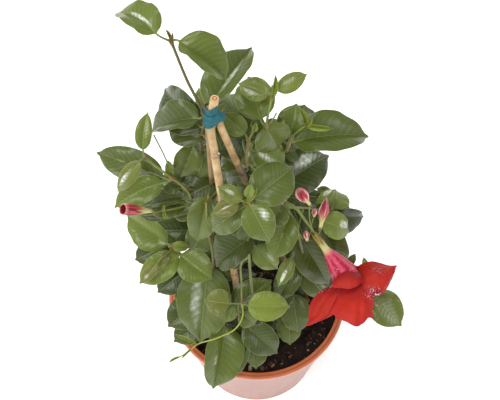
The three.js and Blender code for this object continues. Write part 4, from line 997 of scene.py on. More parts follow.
LEAFY_STEMS.append(dict(name="leafy_stem_front_right", routes=[
    dict(radius=1.7, points=[xyz(26, -34, 92), xyz(30, -33, 150), xyz(33, -26, 194)]),
], leaves=[
    leaf([292, 293, 192], [293, 294, 191], [298, 333, 160], 29, 0, 15, age=-0.4),
    leaf([292, 306, 174], [288, 310, 168], [290, 345, 144], 25, 0, 15, age=-0.4),
], spears=[]))

blades = bpy.data.node_groups.new("leaf_blades", "GeometryNodeTree")
given = tree_inputs(blades, ("Rows", "Int"), ("Columns", "Int"), ("Vein Pairs", "Float"), ("Thickness", "Float"),
                    ("Bulge", "Float"), ("Quilting", "Float"), ("Edge Wave", "Float"), ("Upper", "Material"),
                    ("Lower", "Material"))
nodes = Nodes(blades)
sheet = nodes.add("GeometryNodeMeshGrid",
                  {"Size X": 1.0, "Size Y": 1.0, "Vertices X": given["Rows"], "Vertices Y": given["Columns"]})
spot = nodes.add("ShaderNodeSeparateXYZ", {0: nodes.add("GeometryNodeInputPosition").outputs[0]}).outputs
to_tip = nodes.math("POWER", nodes.minus(0.5, spot["X"]), 1.3)
sheet = stored(nodes, sheet.outputs["Mesh"], "along", nodes.minus(1.0, to_tip))
sheet = stored(nodes, sheet, "across", nodes.times(spot["Y"], -2.0))
copies = nodes.add("GeometryNodeInstanceOnPoints", {"Points": given["Geometry"], "Instance": sheet}).outputs[0]
sheets = nodes.add("GeometryNodeRealizeInstances", {0: copies}).outputs[0]

along, across = named(nodes, "along"), named(nodes, "across")
base, crest, tip, facing = (named(nodes, key, "FLOAT_VECTOR") for key in ("base", "crest", "tip", "facing"))
width, fold, phase = (named(nodes, key) for key in ("width", "fold", "phase"))
rest = nodes.minus(1.0, along)
off = nodes.math("ABSOLUTE", across)
middle = nodes.vector("ADD",
                      nodes.vector("ADD", nodes.scaled(base, nodes.times(rest, rest)),
                                   nodes.scaled(tip, nodes.times(along, along))),
                      nodes.scaled(crest, nodes.times(along, rest, 2.0)))
tangent = nodes.vector("NORMALIZE",
                       nodes.vector("ADD", nodes.scaled(nodes.vector("SUBTRACT", crest, base), rest),
                                    nodes.scaled(nodes.vector("SUBTRACT", tip, crest), along)))
normal = nodes.vector("NORMALIZE",
                      nodes.vector("SUBTRACT", facing,
                                   nodes.scaled(tangent, nodes.vector("DOT_PRODUCT", facing, tangent))))
side = nodes.vector("CROSS_PRODUCT", tangent, normal)

ahead = nodes.times_plus(nodes.times(rest, 2.0), named(nodes, "lead"), along)
outline = nodes.add("ShaderNodeFloatCurve", {"Value": nodes.times(along, ahead, clamp=True)})
curve = outline.mapping.curves[0]
OUTLINE = [(0, 0.03), (0.03, 0.27), (0.1, 0.6), (0.24, 0.9), (0.4, 1), (0.54, 0.96), (0.67, 0.84), (0.77, 0.67),
           (0.85, 0.47), (0.895, 0.32), (0.925, 0.19), (0.95, 0.12), (0.975, 0.08), (1, 0.03)]
for place in OUTLINE[1:-1]:
    curve.points.new(*place)
curve.points[0].location = OUTLINE[0]
curve.points[-1].location = OUTLINE[-1]
outline.mapping.update()
half = nodes.times(outline.outputs[0], width, 0.5)
tilt = nodes.times(fold, nodes.math("MINIMUM", nodes.times(along, 6.0), 1.0))
reach = nodes.times(half, off)
bulge = nodes.times(half, given["Bulge"], nodes.math("SINE", nodes.times(off, math.pi)))
vein = nodes.times(given["Vein Pairs"], nodes.minus(along, nodes.times(off, nodes.times_plus(off, 0.09, 0.13))))
quilt = nodes.times(nodes.math("COSINE", nodes.times(vein, 2 * math.pi)),
                    nodes.times(nodes.times(off, nodes.minus(1.0, nodes.math("POWER", off, 3.0))),
                                nodes.times(width, given["Quilting"])))
swell = nodes.math("SINE", nodes.times(along, math.pi))
wave = nodes.times(nodes.math("SINE", nodes.times_plus(along, 13.0, phase)), nodes.times(across, off, -1.0))
ripple = nodes.times(nodes.math("SINE", nodes.plus(nodes.times(along, 27.0), nodes.times_plus(phase, 2.3, across))),
                     nodes.times(off, off, 0.4))
wave = nodes.times(nodes.plus(wave, ripple), swell, nodes.times(width, given["Edge Wave"]))
rise = nodes.plus(nodes.times(reach, nodes.math("SINE", tilt)), bulge, nodes.plus(quilt, wave))
sideways = nodes.times(half, across, nodes.math("COSINE", tilt))
place = nodes.vector("ADD", middle, nodes.vector("ADD", nodes.scaled(side, sideways), nodes.scaled(normal, rise)))
edge = nodes.math("MINIMUM", nodes.minus(1.0, nodes.math("POWER", off, 8.0)),
                  nodes.math("MINIMUM", nodes.times(along, 40.0), nodes.times(rest, 40.0)))
skin = nodes.scaled(normal, nodes.times(edge, given["Thickness"], 0.5))
sheets = stored(nodes, sheets, "half", nodes.times(half, 1000.0))
sheets = stored(nodes, sheets, "vein", vein)
layers = []
for way, material in (("ADD", given["Upper"]), ("SUBTRACT", given["Lower"])):
    layer = nodes.add("GeometryNodeSetPosition",
                      {"Geometry": sheets, "Position": nodes.vector(way, place, skin)}).outputs[0]
    if way == "SUBTRACT":
        layer = nodes.add("GeometryNodeFlipFaces", {0: layer}).outputs[0]
    layers.append(in_material(nodes, layer, material))
joined = nodes.add("GeometryNodeJoinGeometry")
for layer in layers:
    nodes.tree.links.new(layer, joined.inputs[0])
whole = nodes.add("GeometryNodeMergeByDistance", {"Geometry": joined.outputs[0], "Distance": 0.000002}).outputs[0]
whole = nodes.add("GeometryNodeSetShadeSmooth", {0: whole}).outputs[0]
nodes.add("NodeGroupOutput", {0: whole})

# Venation: the pale midrib and side veins of a blade, its thin pale margin, and the swelling between its veins.
venation = bpy.data.node_groups.new("venation", "ShaderNodeTree")
sockets(venation, "OUTPUT", *((name, "Float") for name in ("Midrib", "Side Veins", "Margin", "Swelling")))
nodes = Nodes(venation)
across, along, half, vein = map(nodes.carried, ("across", "along", "half", "vein"))
off = nodes.math("ABSOLUTE", across)
reach = nodes.times(off, half)
midrib = nodes.remap(reach, 0.1, 0.5, 1.0, 0.0)
midrib = nodes.times(midrib, nodes.remap(along, 0.75, 1.0, 1.0, 0.2))
phase = nodes.math("FRACT", nodes.times_plus(nodes.math("GREATER_THAN", across, 0.0), 0.35, vein))
from_vein = nodes.math("MINIMUM", phase, nodes.minus(1.0, phase))
fade = nodes.remap(off, 0.55, 0.95, 1.0, 0.0)
veins = nodes.times(nodes.remap(from_vein, 0.02, 0.1, 1.0, 0.0), fade)
finer = nodes.math("FRACT", nodes.times(vein, 3.0))
finer = nodes.times(nodes.remap(nodes.math("MINIMUM", finer, nodes.minus(1.0, finer)), 0.05, 0.2, 0.25, 0.0), fade)
margin = nodes.remap(nodes.minus(half, reach), 0.12, 0.45, 1.0, 0.0)
swelling = nodes.minus(nodes.remap(from_vein, 0.0, 0.4), midrib)
nodes.add("NodeGroupOutput",
          {"Midrib": midrib, "Side Veins": nodes.math("MAXIMUM", veins, finer), "Margin": margin,
           "Swelling": swelling})

upper_finish, nodes = new_material("leaf_upper_side", Specular_IOR_Level=0.35, Coat_Weight=0.12, Coat_Roughness=0.08)
leaf_veins = nodes.add("ShaderNodeGroup", node_tree=venation).outputs
age, red, tone = map(nodes.carried, ("age", "red", "tone"))
patches, grain = mottled(nodes, 60.0, 1400.0)
across, along = nodes.carried("across"), nodes.carried("along")
green = nodes.ramp(nodes.times_plus(age, 0.5, 0.5),
                   [(0.0, "#313A16"), (0.3, "#434F1B"), (0.5, "#566323"), (0.75, "#6F7F2B"), (1.0, "#8C9C38")])
deep = nodes.blend(0.5, green, "#28300F")
green = nodes.blend(nodes.times(nodes.minus(1.0, patches), 0.4), green, deep)
green = nodes.tinted(green, (tone, 0.3, "#6E7C2E"), (nodes.carried("dark"), "#1F2810"), (red, 0.5, "#6E4A2A"),
                     (leaf_veins["Side Veins"], 0.16, "#9AA85A"), (leaf_veins["Midrib"], 0.5, "#96A258"),
                     (leaf_veins["Margin"], 0.6, "#A3AA60"))
# Painted highlights: where a leaf is given shine, a pale patch is painted into its colour, broken by the veins, with
# crisp white glints painted where it is strongest.
shine, *spot = map(nodes.carried, ("shine", "shine_across", "shine_along", "shine_wide", "shine_long"))
wide = nodes.math("DIVIDE", nodes.minus(across, spot[0]), spot[2])
long = nodes.math("DIVIDE", nodes.minus(along, spot[1]), spot[3])
near = nodes.plus(nodes.times(wide, wide), nodes.times(long, long))
uneven = nodes.times_plus(patches, 0.5, nodes.times(tone, 5.0))
ribbed = nodes.math("COSINE", nodes.times_plus(nodes.carried("vein"), 2 * math.pi, nodes.times(uneven, 1.8)))
near = nodes.plus(patches, near, nodes.times(ribbed, 0.08))
gleam = nodes.times(nodes.remap(near, 0.5, 1.6, 1.0, 0.0), shine)
gleam = nodes.times(nodes.math("POWER", gleam, 1.3), nodes.times_plus(ribbed, -0.14, 0.7))
green = nodes.blend(nodes.times(gleam, 0.85), green, "#D5DACB")
glints = nodes.remap(nodes.grain(nodes.own_place(), 280.0, 2.0), 0.47, 0.57)
crisp = nodes.times(nodes.remap(near, 0.6, 1.0, 1.0, 0.0), nodes.remap(shine, 0.55, 0.95))
green = nodes.blend(nodes.times(glints, crisp, 0.7), green, "#EEF1E8")
height = nodes.plus(leaf_veins["Swelling"], nodes.times(grain, 0.25))
nodes.finish(Base_Color=green, Roughness=nodes.remap(grain, 0.3, 0.7, 0.28, 0.4),
             Normal=nodes.bump(height, 0.0002, 0.6))

under_finish, nodes = new_material("leaf_lower_side")
leaf_veins = nodes.add("ShaderNodeGroup", node_tree=venation).outputs
age = nodes.carried("age")
patches, grain = mottled(nodes, 60.0, 1400.0)
pale = nodes.ramp(nodes.times_plus(age, 0.5, 0.5), [(0.0, "#5A6B3C"), (1.0, "#8FA05A")])
pale = nodes.tinted(pale, (patches, 0.3, "#7F8F5E"), (leaf_veins["Side Veins"], 0.5, "#A3B077"),
                    (leaf_veins["Midrib"], 0.8, "#B5BE83"))
nodes.finish(Base_Color=pale, Roughness=nodes.remap(grain, 0.3, 0.7, 0.55, 0.7),
             Normal=nodes.bump(nodes.minus(grain, leaf_veins["Swelling"]), 0.0004, 0.6))

stem_finish, nodes = new_material("green_stem", Coat_Weight=0.2, Coat_Roughness=0.25)
woody, joint = nodes.carried("woody"), nodes.carried("joint")
patches, grain = mottled(nodes, 60.0, 1500.0, 0.15)
bark = nodes.blend(patches, "#494222", "#5A4B2A")
sap = nodes.blend(patches, "#5C6B27", "#7A8A36")
lime = nodes.blend(patches, "#94A030", "#AAB548")
stem_colour = nodes.blend(nodes.times(woody, -1.0, clamp=True), sap, lime)
stem_colour = nodes.blend(nodes.times(woody, 1.0, clamp=True), stem_colour, bark)
stem_colour = nodes.blend(nodes.times(joint, 0.7), stem_colour, "#8B3A22")
nodes.finish(Base_Color=stem_colour, Roughness=nodes.remap(grain, 0.3, 0.7, 0.38, 0.55),
             Normal=nodes.bump(grain, 0.0002, 0.5))


def rooted(place, centrelines):
    """The place on some centrelines that is nearest to a given one."""
    best, least = place, math.inf
    for line in centrelines:
        starts, ends = line[:-1], line[1:]
        run = ends - starts
        share = np.clip(((place - starts) * run).sum(1) / (run ** 2).sum(1), 0, 1)
        spots = starts + run * share[:, None]
        gaps = np.linalg.norm(spots - place, axis=1)
        nearest = int(np.argmin(gaps))
        if gaps[nearest] < least:
            best, least = spots[nearest], gaps[nearest]
    return best


def hold(one):
    """Adds to a leaf which way its blade faces, and the crest that its midrib bends towards."""
    seen = one["tip"] - one["base"]
    length = np.linalg.norm(seen)
    run = seen / length
    facing = unit(SIGHT - run * (SIGHT @ run))
    turn = math.radians(one["turn"])
    one["facing"] = facing * math.cos(turn) + np.cross(run, facing) * math.sin(turn)
    seen = seen - SIGHT * (seen @ SIGHT)
    drift = one["facing"] @ seen / (seen @ seen) * 2 * length
    bow = min(one["bow"], GREATEST_LEAD / max(abs(drift), 1e-6))
    one["lead"] = 0.5 + bow * drift
    aside = np.cross(seen, SIGHT) / np.linalg.norm(seen)
    one["crest"] = (one["base"] + one["tip"]) / 2 + one["facing"] * 2 * bow * length \
        + aside * 2 * one.get("swerve", 0)
    return one


def bezier(first, bend, last, count, until=1.0):
    shares = np.linspace(0, until, count)[:, None]
    return (1 - shares) ** 2 * first + 2 * shares * (1 - shares) * bend + shares ** 2 * last


def undergrowth(line, number):
    """Older leaves in pairs along the lowest stretch of a stem, where little light reaches them."""
    made = []
    for k, height in enumerate(range(LOWEST_PAIR, HIGHEST_PAIR, PAIR_SPACING)):
        joint = line[int(np.argmin(np.abs(line[:, 2] - height)))]
        for half_turn in (0, math.pi):
            turn = 0.9 * number + math.pi / 2 * k + half_turn + 0.4 * math.sin(5.1 * k + number)
            out = xyz(math.cos(turn), math.sin(turn), 0)
            length = OLD_LEAF_LENGTH + 8 * math.sin(2.3 * k + 1.7 * number + half_turn)
            base = joint + out * OLD_STALK + xyz(0, 0, 2)
            tip = joint + out * (OLD_STALK + length) - xyz(0, 0, OLD_LEAF_DROP)
            over_soil = tip[0] > 8 and tip[1] < 12 and height < OPEN_SOIL_TOP
            crown = LOW_CROWN_RADIUS if height < LOW_CROWN_TOP else CROWN_RADIUS
            if np.hypot(*tip[:2]) > crown or over_soil:
                continue
            made.append(dict(joint=joint, base=base, tip=tip, width=0.62 * length, turn=12 * math.cos(turn), fold=14,
                             bow=0.12, age=-1))
    return made


def drawn(places):
    """How far some places stand across and down in the front drawing, and how near they are to the viewer."""
    places = places - np.array([0, 0, POT_HEIGHT])
    near = places @ SIGHT
    scale = VIEW_DISTANCE / (VIEW_DISTANCE - near)
    across = PICTURE_WIDTH / 2 + (places[:, 0] + LIP_ACROSS - PICTURE_WIDTH / 2) * scale
    down = PICTURE_HEIGHT / 2 - (places @ UPWARD - LIP_DOWN + PICTURE_HEIGHT / 2) * scale
    return np.column_stack([across, down, near])


def spots_of(one):
    """A few places on a blade."""
    run = bezier(one["base"], one["crest"], one["tip"], 6)
    side = unit(np.cross(one["tip"] - one["base"], one["facing"])) * one["width"] * 0.36
    return np.vstack([run, run[1:5] + side, run[1:5] - side])


# Places on the flower, which the older leaves keep clear of.
FLOWER_SPOTS = [at(x, y, z)[None] for x, y, z in (
    (325, 300, 236), (320, 318, 232), (350, 300, 252), (350, 318, 250), (365, 300, 250), (345, 270, 250),
    (335, 255, 262), (370, 275, 250), (385, 275, 250), (322, 240, 285), (303, 195, 335), (325, 212, 305))]

for stem in LEAFY_STEMS:
    stem["lines"] = []
    for route in stem["routes"]:
        first, *others = route["points"]
        if stem["lines"]:
            start = [rooted(first, stem["lines"])]
        else:
            share = (SOIL_TOP + STANDING_ABOVE - first[2]) / (others[0][2] - first[2])
            start = [first, first + (others[0] - first) * share]
        stem["lines"].append(through(start + others, STEM_STEP))
    stem["held"] = [hold(dict(one, joint=rooted(one["joint"], stem["lines"]))) for one in stem["leaves"]]
over = drawn(np.vstack([spots_of(one) for stem in LEAFY_STEMS for one in stem["held"]] + FLOWER_SPOTS))

for number, stem in enumerate(LEAFY_STEMS):
    thick, woody, joint_red = [], [], []
    centrelines = stem["lines"]
    for route, line in zip(stem["routes"], centrelines):
        share = np.linspace(0, 1, len(line))
        thick.append(np.maximum(route["radius"] * STEM_SLIMMING * (1 - STEM_TAPER * share), THINNEST_STEM))
        old = np.clip((WOOD_TOP - line[:, 2]) / WOOD_FADE, 0, 1) * min(1.0, max(0.0, route["radius"] - 0.75))
        woody.append(np.full(len(line), float(route["woody"])) if "woody" in route else old)
        joint_red.append(np.zeros(len(line)))
    leaves = list(stem["held"])
    for one in undergrowth(centrelines[0], number):
        spots = drawn(spots_of(hold(one)))
        apart = np.hypot(spots[:, None, 0] - over[:, 0], spots[:, None, 1] - over[:, 1])
        if not np.any((apart < SHELTER_REACH) & (spots[:, None, 2] > over[:, 2] - 3)):
            leaves.append(one)
    for one in stem["spears"]:
        foot = rooted(one["joint"], centrelines)
        leaves.append(hold(dict(one, joint=foot, base=foot)))
    for one in leaves:
        for line, radii, reds in zip(centrelines, thick, joint_red):
            gap = np.linalg.norm(line - one["joint"], axis=1)
            if gap.min() < JOINT_REACH:
                near = np.exp(-(gap / JOINT_LENGTH) ** 2)
                swelling = SHOOT_SWELLING if one.get("folded") else JOINT_SWELLING
                radii *= 1 + swelling * near
                reds[:] = np.maximum(reds, JOINT_REDNESS * near * np.clip((1.75 - radii) / 0.5, 0.35, 1))
    stalks = []
    for one in leaves:
        if one.get("folded"):
            continue
        rise = unit(one["crest"] - one["base"])
        length = np.linalg.norm(one["base"] - one["joint"])
        stalk = bezier(one["joint"], one["base"] - rise * 0.5 * length, one["base"], STALK_STEPS)
        rib = bezier(one["base"], one["crest"], one["tip"], RIB_STEPS, 0.93)[1:]
        tangent = np.gradient(rib, axis=0)
        tangent /= np.linalg.norm(tangent, axis=1)[:, None]
        normal = one["facing"] - tangent * (tangent @ one["facing"])[:, None]
        share = np.linspace(0, 1, len(rib))
        rib = rib - normal / np.linalg.norm(normal, axis=1)[:, None] * (0.35 + 0.25 * share[:, None])
        slim = min(1.0, 0.5 + one["width"] / 50)
        out = np.linspace(0, length, STALK_STEPS)
        stalk_radii = STALK_RADIUS * slim * (1 + 0.35 * np.exp(-(out / 2) ** 2))
        stalks.append((np.vstack([stalk, rib]),
                       np.concatenate([stalk_radii, STALK_RADIUS * slim * (0.72 - 0.5 * share)]),
                       np.concatenate([0.6 * np.exp(-(out / 2.2) ** 2), 0 * share])))
    name = stem["name"].replace("leafy_stem_", "")
    stems = path_piece(name + "_stems", centrelines + [s[0] for s in stalks],
                       thick=[t / 1000 for t in thick] + [s[1] / 1000 for s in stalks],
                       woody=woody + [np.zeros(len(s[0])) for s in stalks],
                       joint=joint_red + [s[2] for s in stalks])
    grow(stems, rods, sides=STEM_SIDES, material=stem_finish)
    stems.data.set_sharp_from_angle(angle=ROD_CREASE)
    stand(stems, "foliage", stem["name"])

    seeds = bpy.data.meshes.new(name + "_leaves")
    seeds.vertices.add(len(leaves))
    for key in ("base", "crest", "tip", "facing"):
        scale = 1 if key == "facing" else 1000
        seeds.attributes.new(key, "FLOAT_VECTOR", "POINT").data.foreach_set(
            "vector", np.concatenate([one[key] / scale for one in leaves]).astype(np.float32))
    put(seeds, width=[one["width"] / 1000 for one in leaves],
        fold=[math.radians(one["fold"]) for one in leaves],
        phase=[one["joint"][0] for one in leaves], lead=[one["lead"] for one in leaves],
        **{key: [one.get(key, 0) for one in leaves] for key in ("age", "red", "dark")},
        tone=[0.5 + 0.5 * math.sin(12.9 * one["tip"][0] + 7.3 * one["tip"][1]) for one in leaves],
        **{key: [one.get("shine", NO_SHINE)[i] for one in leaves]
           for i, key in enumerate(("shine", "shine_across", "shine_along", "shine_wide", "shine_long"))})
    foliage = bring_in(name + "_leaves", seeds)
    grow(foliage, blades, rows=BLADE_ROWS, columns=BLADE_COLUMNS, vein_pairs=VEIN_PAIRS,
         thickness=BLADE_THICKNESS / 1000, bulge=0.1, quilting=0.0013, edge_wave=0.03, upper=upper_finish,
         lower=under_finish)
    foliage.data.set_sharp_from_angle(angle=SHEET_CREASE)
    stand(foliage, "foliage", stem["name"])

# Flower: one open trumpet of soft, velvety petals. Its narrow cream neck sits in green bracts and widens into a
# streaked throat, and five broad lobes spread from the mouth, each curled and rumpled in its own way.
BLOOM_NECK = at(316.4, 236.8, 291.5)
BLOOM_AXIS = unit(np.array([0.517, -0.307, -0.799]))
BLOOM_PROFILE = [(0, 2.4), (9, 3), (14, 2.9), (19, 3.6), (27, 6), (36, 8.4), (46, 10.4), (56, 12.4)]
PETAL_THICKNESS = 0.8
LOBE_ROWS = 44
LOBE_COLUMNS = 44
THROAT_SIDES = 90
HIDDEN_LOBES = [dict(round=218, flare=12), dict(round=290, flare=16)]
HIDDEN_LENGTH = 26
HIDDEN_WIDTH = 34
SEPALS = 5
SEPAL_LENGTH = 14
SEPAL_WIDTH = 2.8
SEPAL_THICKNESS = 0.5
SEPAL_ROWS = 12
SEPAL_COLUMNS = 7
THROAT_STEPS = 48
SPREAD_PETAL = dict(throat=lambda s, u: 1.1, petal_edge=lambda s, u: max(abs(u), s))
LOBES = [
    dict(wet=[(0.12, -0.95, 1)], rows=[
        [(333.5, 285, 244), (335.5, 286.5, 247), (338, 288, 249), (340, 289, 250), (342.5, 290, 251)],
        [(322, 290.3, 239), (326, 294, 243), (331, 297, 246), (335.5, 298, 247), (340, 298.5, 248)],
        [(312, 300.5, 232), (318, 305, 237), (325, 307, 240), (331, 308, 242), (337, 307, 243)],
        [(308.8, 312.5, 228), (313.5, 315.5, 232), (320, 316.5, 236), (327, 315.5, 238), (335, 312.8, 239)],
        [(309.3, 320, 226), (308, 323, 226), (306.3, 325.9, 226), (312.5, 324, 229), (323, 319.8, 233)],
    ]),
    dict(wet=[(0.15, 0.92, 1)], rows=[
        [(341.5, 283, 249), (346, 281.5, 251), (351, 280, 252), (356, 280, 252), (361, 280, 252), (367, 281, 251)],
        [(338.2, 299, 251), (345, 301, 255), (352, 301.5, 258), (359.5, 300, 258), (366, 298, 256), (373, 295, 253)],
        [(334.6, 308, 250), (343.5, 311, 256), (353, 312, 259), (361, 309.5, 259), (367, 306.5, 258), (372.9, 303.5,
                                                                                                       254)],
        [(334.3, 314.5, 249), (344, 317, 254), (354, 319.5, 258), (362, 317, 258), (367.5, 313.5, 257), (372.5,
                                                                                                         311.5, 254)],
        [(336.5, 318.2, 248), (346.5, 321.8, 252), (356.5, 326.4, 255), (363.5, 323.2, 256), (368.3, 317.8, 255),
         (374, 318.9, 252)],
    ]),
    dict(wet=[(0.4, 0.9, 1.2), (0.55, -0.5, 0.35)], rows=[
        [(352, 271, 246), (354, 275, 249), (356, 279, 251), (357.5, 283, 252), (359, 288, 251)],
        [(362, 264, 249), (363.5, 271, 253), (364.5, 279, 257), (365.5, 286, 256), (366.5, 294, 253)],
        [(371.5, 261.6, 252), (372.5, 270, 257), (373.5, 278, 260), (374.5, 286, 258), (375.5, 296, 254)],
        [(380.5, 263.3, 253), (381, 270.5, 258), (381.5, 278, 260), (382, 285.5, 257), (383.5, 292.5, 252)],
        [(389, 265.8, 254), (388.5, 270.5, 258), (388.3, 276, 259), (388.2, 281, 257), (388.8, 285, 253)],
        [(397, 265.8, 255), (395.8, 268, 256), (395, 270.5, 256.5), (394, 273, 256), (392.8, 276.5, 255)],
    ]),
    dict(wet=[(0.1, 0.9, 0.6)], lip=True, rows=[
        [(334, 281, 257), (339, 274.5, 261), (346.5, 271.5, 263), (353, 272, 262), (360, 273, 256)],
        [(333, 284.3, 256), (341, 280.5, 262), (348, 280, 264), (355, 279, 263), (362, 277.5, 257)],
        [(332.8, 287.5, 253), (341, 288, 259), (349, 289, 261), (356.5, 286.5, 260), (363, 282, 255)],
    ]),
]

petal_finish, nodes = new_material("velvet_petal", Specular_IOR_Level=0.25)
throat, edge, stripe, deep, wet = map(nodes.carried, ("throat", "petal_edge", "stripe", "deep", "wet"))
patches, grain = mottled(nodes, 90.0, 1500.0)
spot = nodes.own_place()
# In each glint patch, the red is painted darker and purplish in uneven spots, and small pale specks are painted
# highlights; the patch is also less rough.
purple_darkening = nodes.times(wet, nodes.remap(nodes.grain(spot, 260.0, 3.0), 0.35, 0.55))
glint_specks = nodes.times(wet, nodes.remap(nodes.grain(spot, 620.0, 2.0), 0.56, 0.62))
# Painted shade: deep paints the red darker where the lobes run into the throat, over the rolled-back lip and on the
# inside of the tube.
red = nodes.tinted(nodes.blend(patches, "#A61B0E", "#B82612"), (nodes.remap(edge, 0.8, 1.0), 0.35, "#A01038"),
                   (deep, 0.8, "#74091A"), (purple_darkening, 0.85, "#5A1230"), (glint_specks, 0.8, "#E7C6D2"))
streak = nodes.math("SINE", nodes.times(stripe, 2 * math.pi * 7))
streak = nodes.times(nodes.remap(nodes.times_plus(patches, 0.9, streak), -0.4, 1.4), nodes.remap(throat, 0.25, 0.55))
pale = nodes.remap(nodes.grain(nodes.vector("MULTIPLY", spot, (1.0, 1.0, 0.4)), 380.0, 2.0), 0.55, 0.7)
tube = nodes.tinted(nodes.blend(streak, "#D6516F", "#AE1C38"), (pale, 0.4, "#EFC3CB"),
                    (nodes.remap(throat, 0.26, 0.42, 1.0, 0.0), "#CCC388"),
                    (nodes.remap(throat, 0.05, 0.26, 1.0, 0.0), "#9A9148"))
sepal = nodes.blend(patches, "#875428", "#9A9446")
nodes.finish(Base_Color=nodes.blend(nodes.carried("sepal"), nodes.blend(nodes.remap(throat, 0.85, 1.05), tube, red),
                                    sepal),
             Roughness=nodes.times_plus(wet, -0.25, nodes.remap(grain, 0.3, 0.7, 0.5, 0.66)),
             Normal=nodes.bump(nodes.times_plus(glint_specks, 0.5, grain), 0.0003, 0.4))


def spread(controls, count):
    """Evenly many places on the smooth curve through controls, along the first axis of an array."""
    controls = np.asarray(controls, float)
    padded = np.concatenate([[2 * controls[0] - controls[1]], controls, [2 * controls[-1] - controls[-2]]])
    places = []
    for t in np.linspace(0, len(controls) - 1, count):
        i = min(int(t), len(controls) - 2)
        f = t - i
        a, b, c, d = padded[i:i + 4]
        places.append(b + 0.5 * f * (c - a + f * (2 * a - 5 * b + 4 * c - d + f * (3 * (b - c) + d - a))))
    return np.array(places)


def shares_of(rows, columns):
    """Each place of a grid, with its share of the way along and, from -1 to 1, across."""
    return [(i, j, i / (rows - 1), 2 * j / (columns - 1) - 1) for i in range(rows) for j in range(columns)]


def sheet_skin(grid, thickness, values):
    """A closed sheet: the two sides of a grid of places, joined round the rim, and values for each place."""
    rows, columns = grid.shape[:2]
    normal = np.cross(np.gradient(grid, axis=0), np.gradient(grid, axis=1))
    normal /= np.linalg.norm(normal, axis=2)[:, :, None] + 1e-9
    top = (grid + normal * thickness / 2).reshape(-1, 3)
    bottom = (grid - normal * thickness / 2).reshape(-1, 3)
    count = rows * columns
    faces = grid_faces(rows, columns)
    faces += [tuple(v + count for v in f[::-1]) for f in faces]
    rim = [*range(columns), *(i * columns + columns - 1 for i in range(1, rows)),
           *((rows - 1) * columns + j for j in range(columns - 2, -1, -1)),
           *(i * columns for i in range(rows - 2, 0, -1))]
    faces += [(a, b, b + count, a + count)[::-1] for a, b in zip(rim, rim[1:] + rim[:1])]
    return np.vstack([top, bottom]), faces, {
        key: [rule(s, u) for _, _, s, u in shares_of(rows, columns)] * 2 for key, rule in values.items()}


def gather(name, parts, *materials):
    """One piece from several meshes of places, faces and values."""
    places, faces, start = [], [], 0
    values = {key: [] for *_, numbers in parts for key in numbers}
    for spots, corners, numbers in parts:
        places.append(np.asarray(spots))
        faces += [tuple(v + start for v in f) for f in corners]
        for key in values:
            values[key].extend(numbers.get(key, [0] * len(spots)))
        start += len(spots)
    piece = new_piece(name, np.vstack(places), faces, *materials)
    put(piece.data, **values)
    return piece


left = unit(np.cross(BLOOM_AXIS, SIGHT))
near = unit(SIGHT - BLOOM_AXIS * (SIGHT @ BLOOM_AXIS))
mouth, mouth_radius = BLOOM_PROFILE[-1]
parts = []
for number, lobe in enumerate(LOBES):
    grid = spread([[at(*spot) for spot in row] for row in lobe["rows"]], LOBE_ROWS)
    grid = spread(grid.transpose(1, 0, 2), LOBE_COLUMNS).transpose(1, 0, 2)
    for i, j, s, u in shares_of(LOBE_ROWS, LOBE_COLUMNS):
        crease = 0.5 * math.sin(6 * u + 1.7 * number + 2 * s) + 0.3 * math.sin(13 * u + 4 * s + number)
        crease += 1.2 * noise.noise(Vector((2.2 * s, 2.2 * u, 3.3 * number)))
        grid[i, j] += SIGHT * crease * min(1, 3 * s) * (0.5 if lobe.get("lip") else 1)
    parts.append(sheet_skin(grid, PETAL_THICKNESS, dict(
        SPREAD_PETAL, deep=lambda s, u, lip=lobe.get("lip"): max(0.0, 0.8 - s) if lip else max(0.0, 0.8 - 3 * s),
        wet=lambda s, u, wet=lobe["wet"]: min(1, max(
            share * math.exp(-((s - a) / 0.18) ** 2 - ((u - b) / 0.26) ** 2) for a, b, share in wet)))))
for number, lobe in enumerate(HIDDEN_LOBES):
    angle, lean = math.radians(lobe["round"]), math.radians(lobe["flare"])
    outward = left * math.cos(angle) + near * math.sin(angle)
    run = BLOOM_AXIS * math.cos(lean) + outward * math.sin(lean)
    normal = unit(outward - run * (outward @ run))
    side = np.cross(run, normal)
    root = BLOOM_NECK + BLOOM_AXIS * (mouth - 1.5) + outward * (mouth_radius - 1.6)
    grid = np.zeros((LOBE_ROWS, LOBE_COLUMNS, 3))
    for i, j, s, u in shares_of(LOBE_ROWS, LOBE_COLUMNS):
        half = min(0.36 + 1.4 * s, 1) * max((1 - s ** 6) ** 0.65, 0.03) * HIDDEN_WIDTH / 2
        lift = 2.5 * math.sin(math.pi * s) + 3 * s * s + 1.2 * s * math.sin(4.3 * u + 2.1 * number)
        grid[i, j] = root + run * (HIDDEN_LENGTH * s) + side * (5 * s * s + u * half) + normal * lift
    parts.append(sheet_skin(grid, PETAL_THICKNESS, dict(SPREAD_PETAL, deep=lambda s, u: max(0.0, 0.8 - 2 * s))))

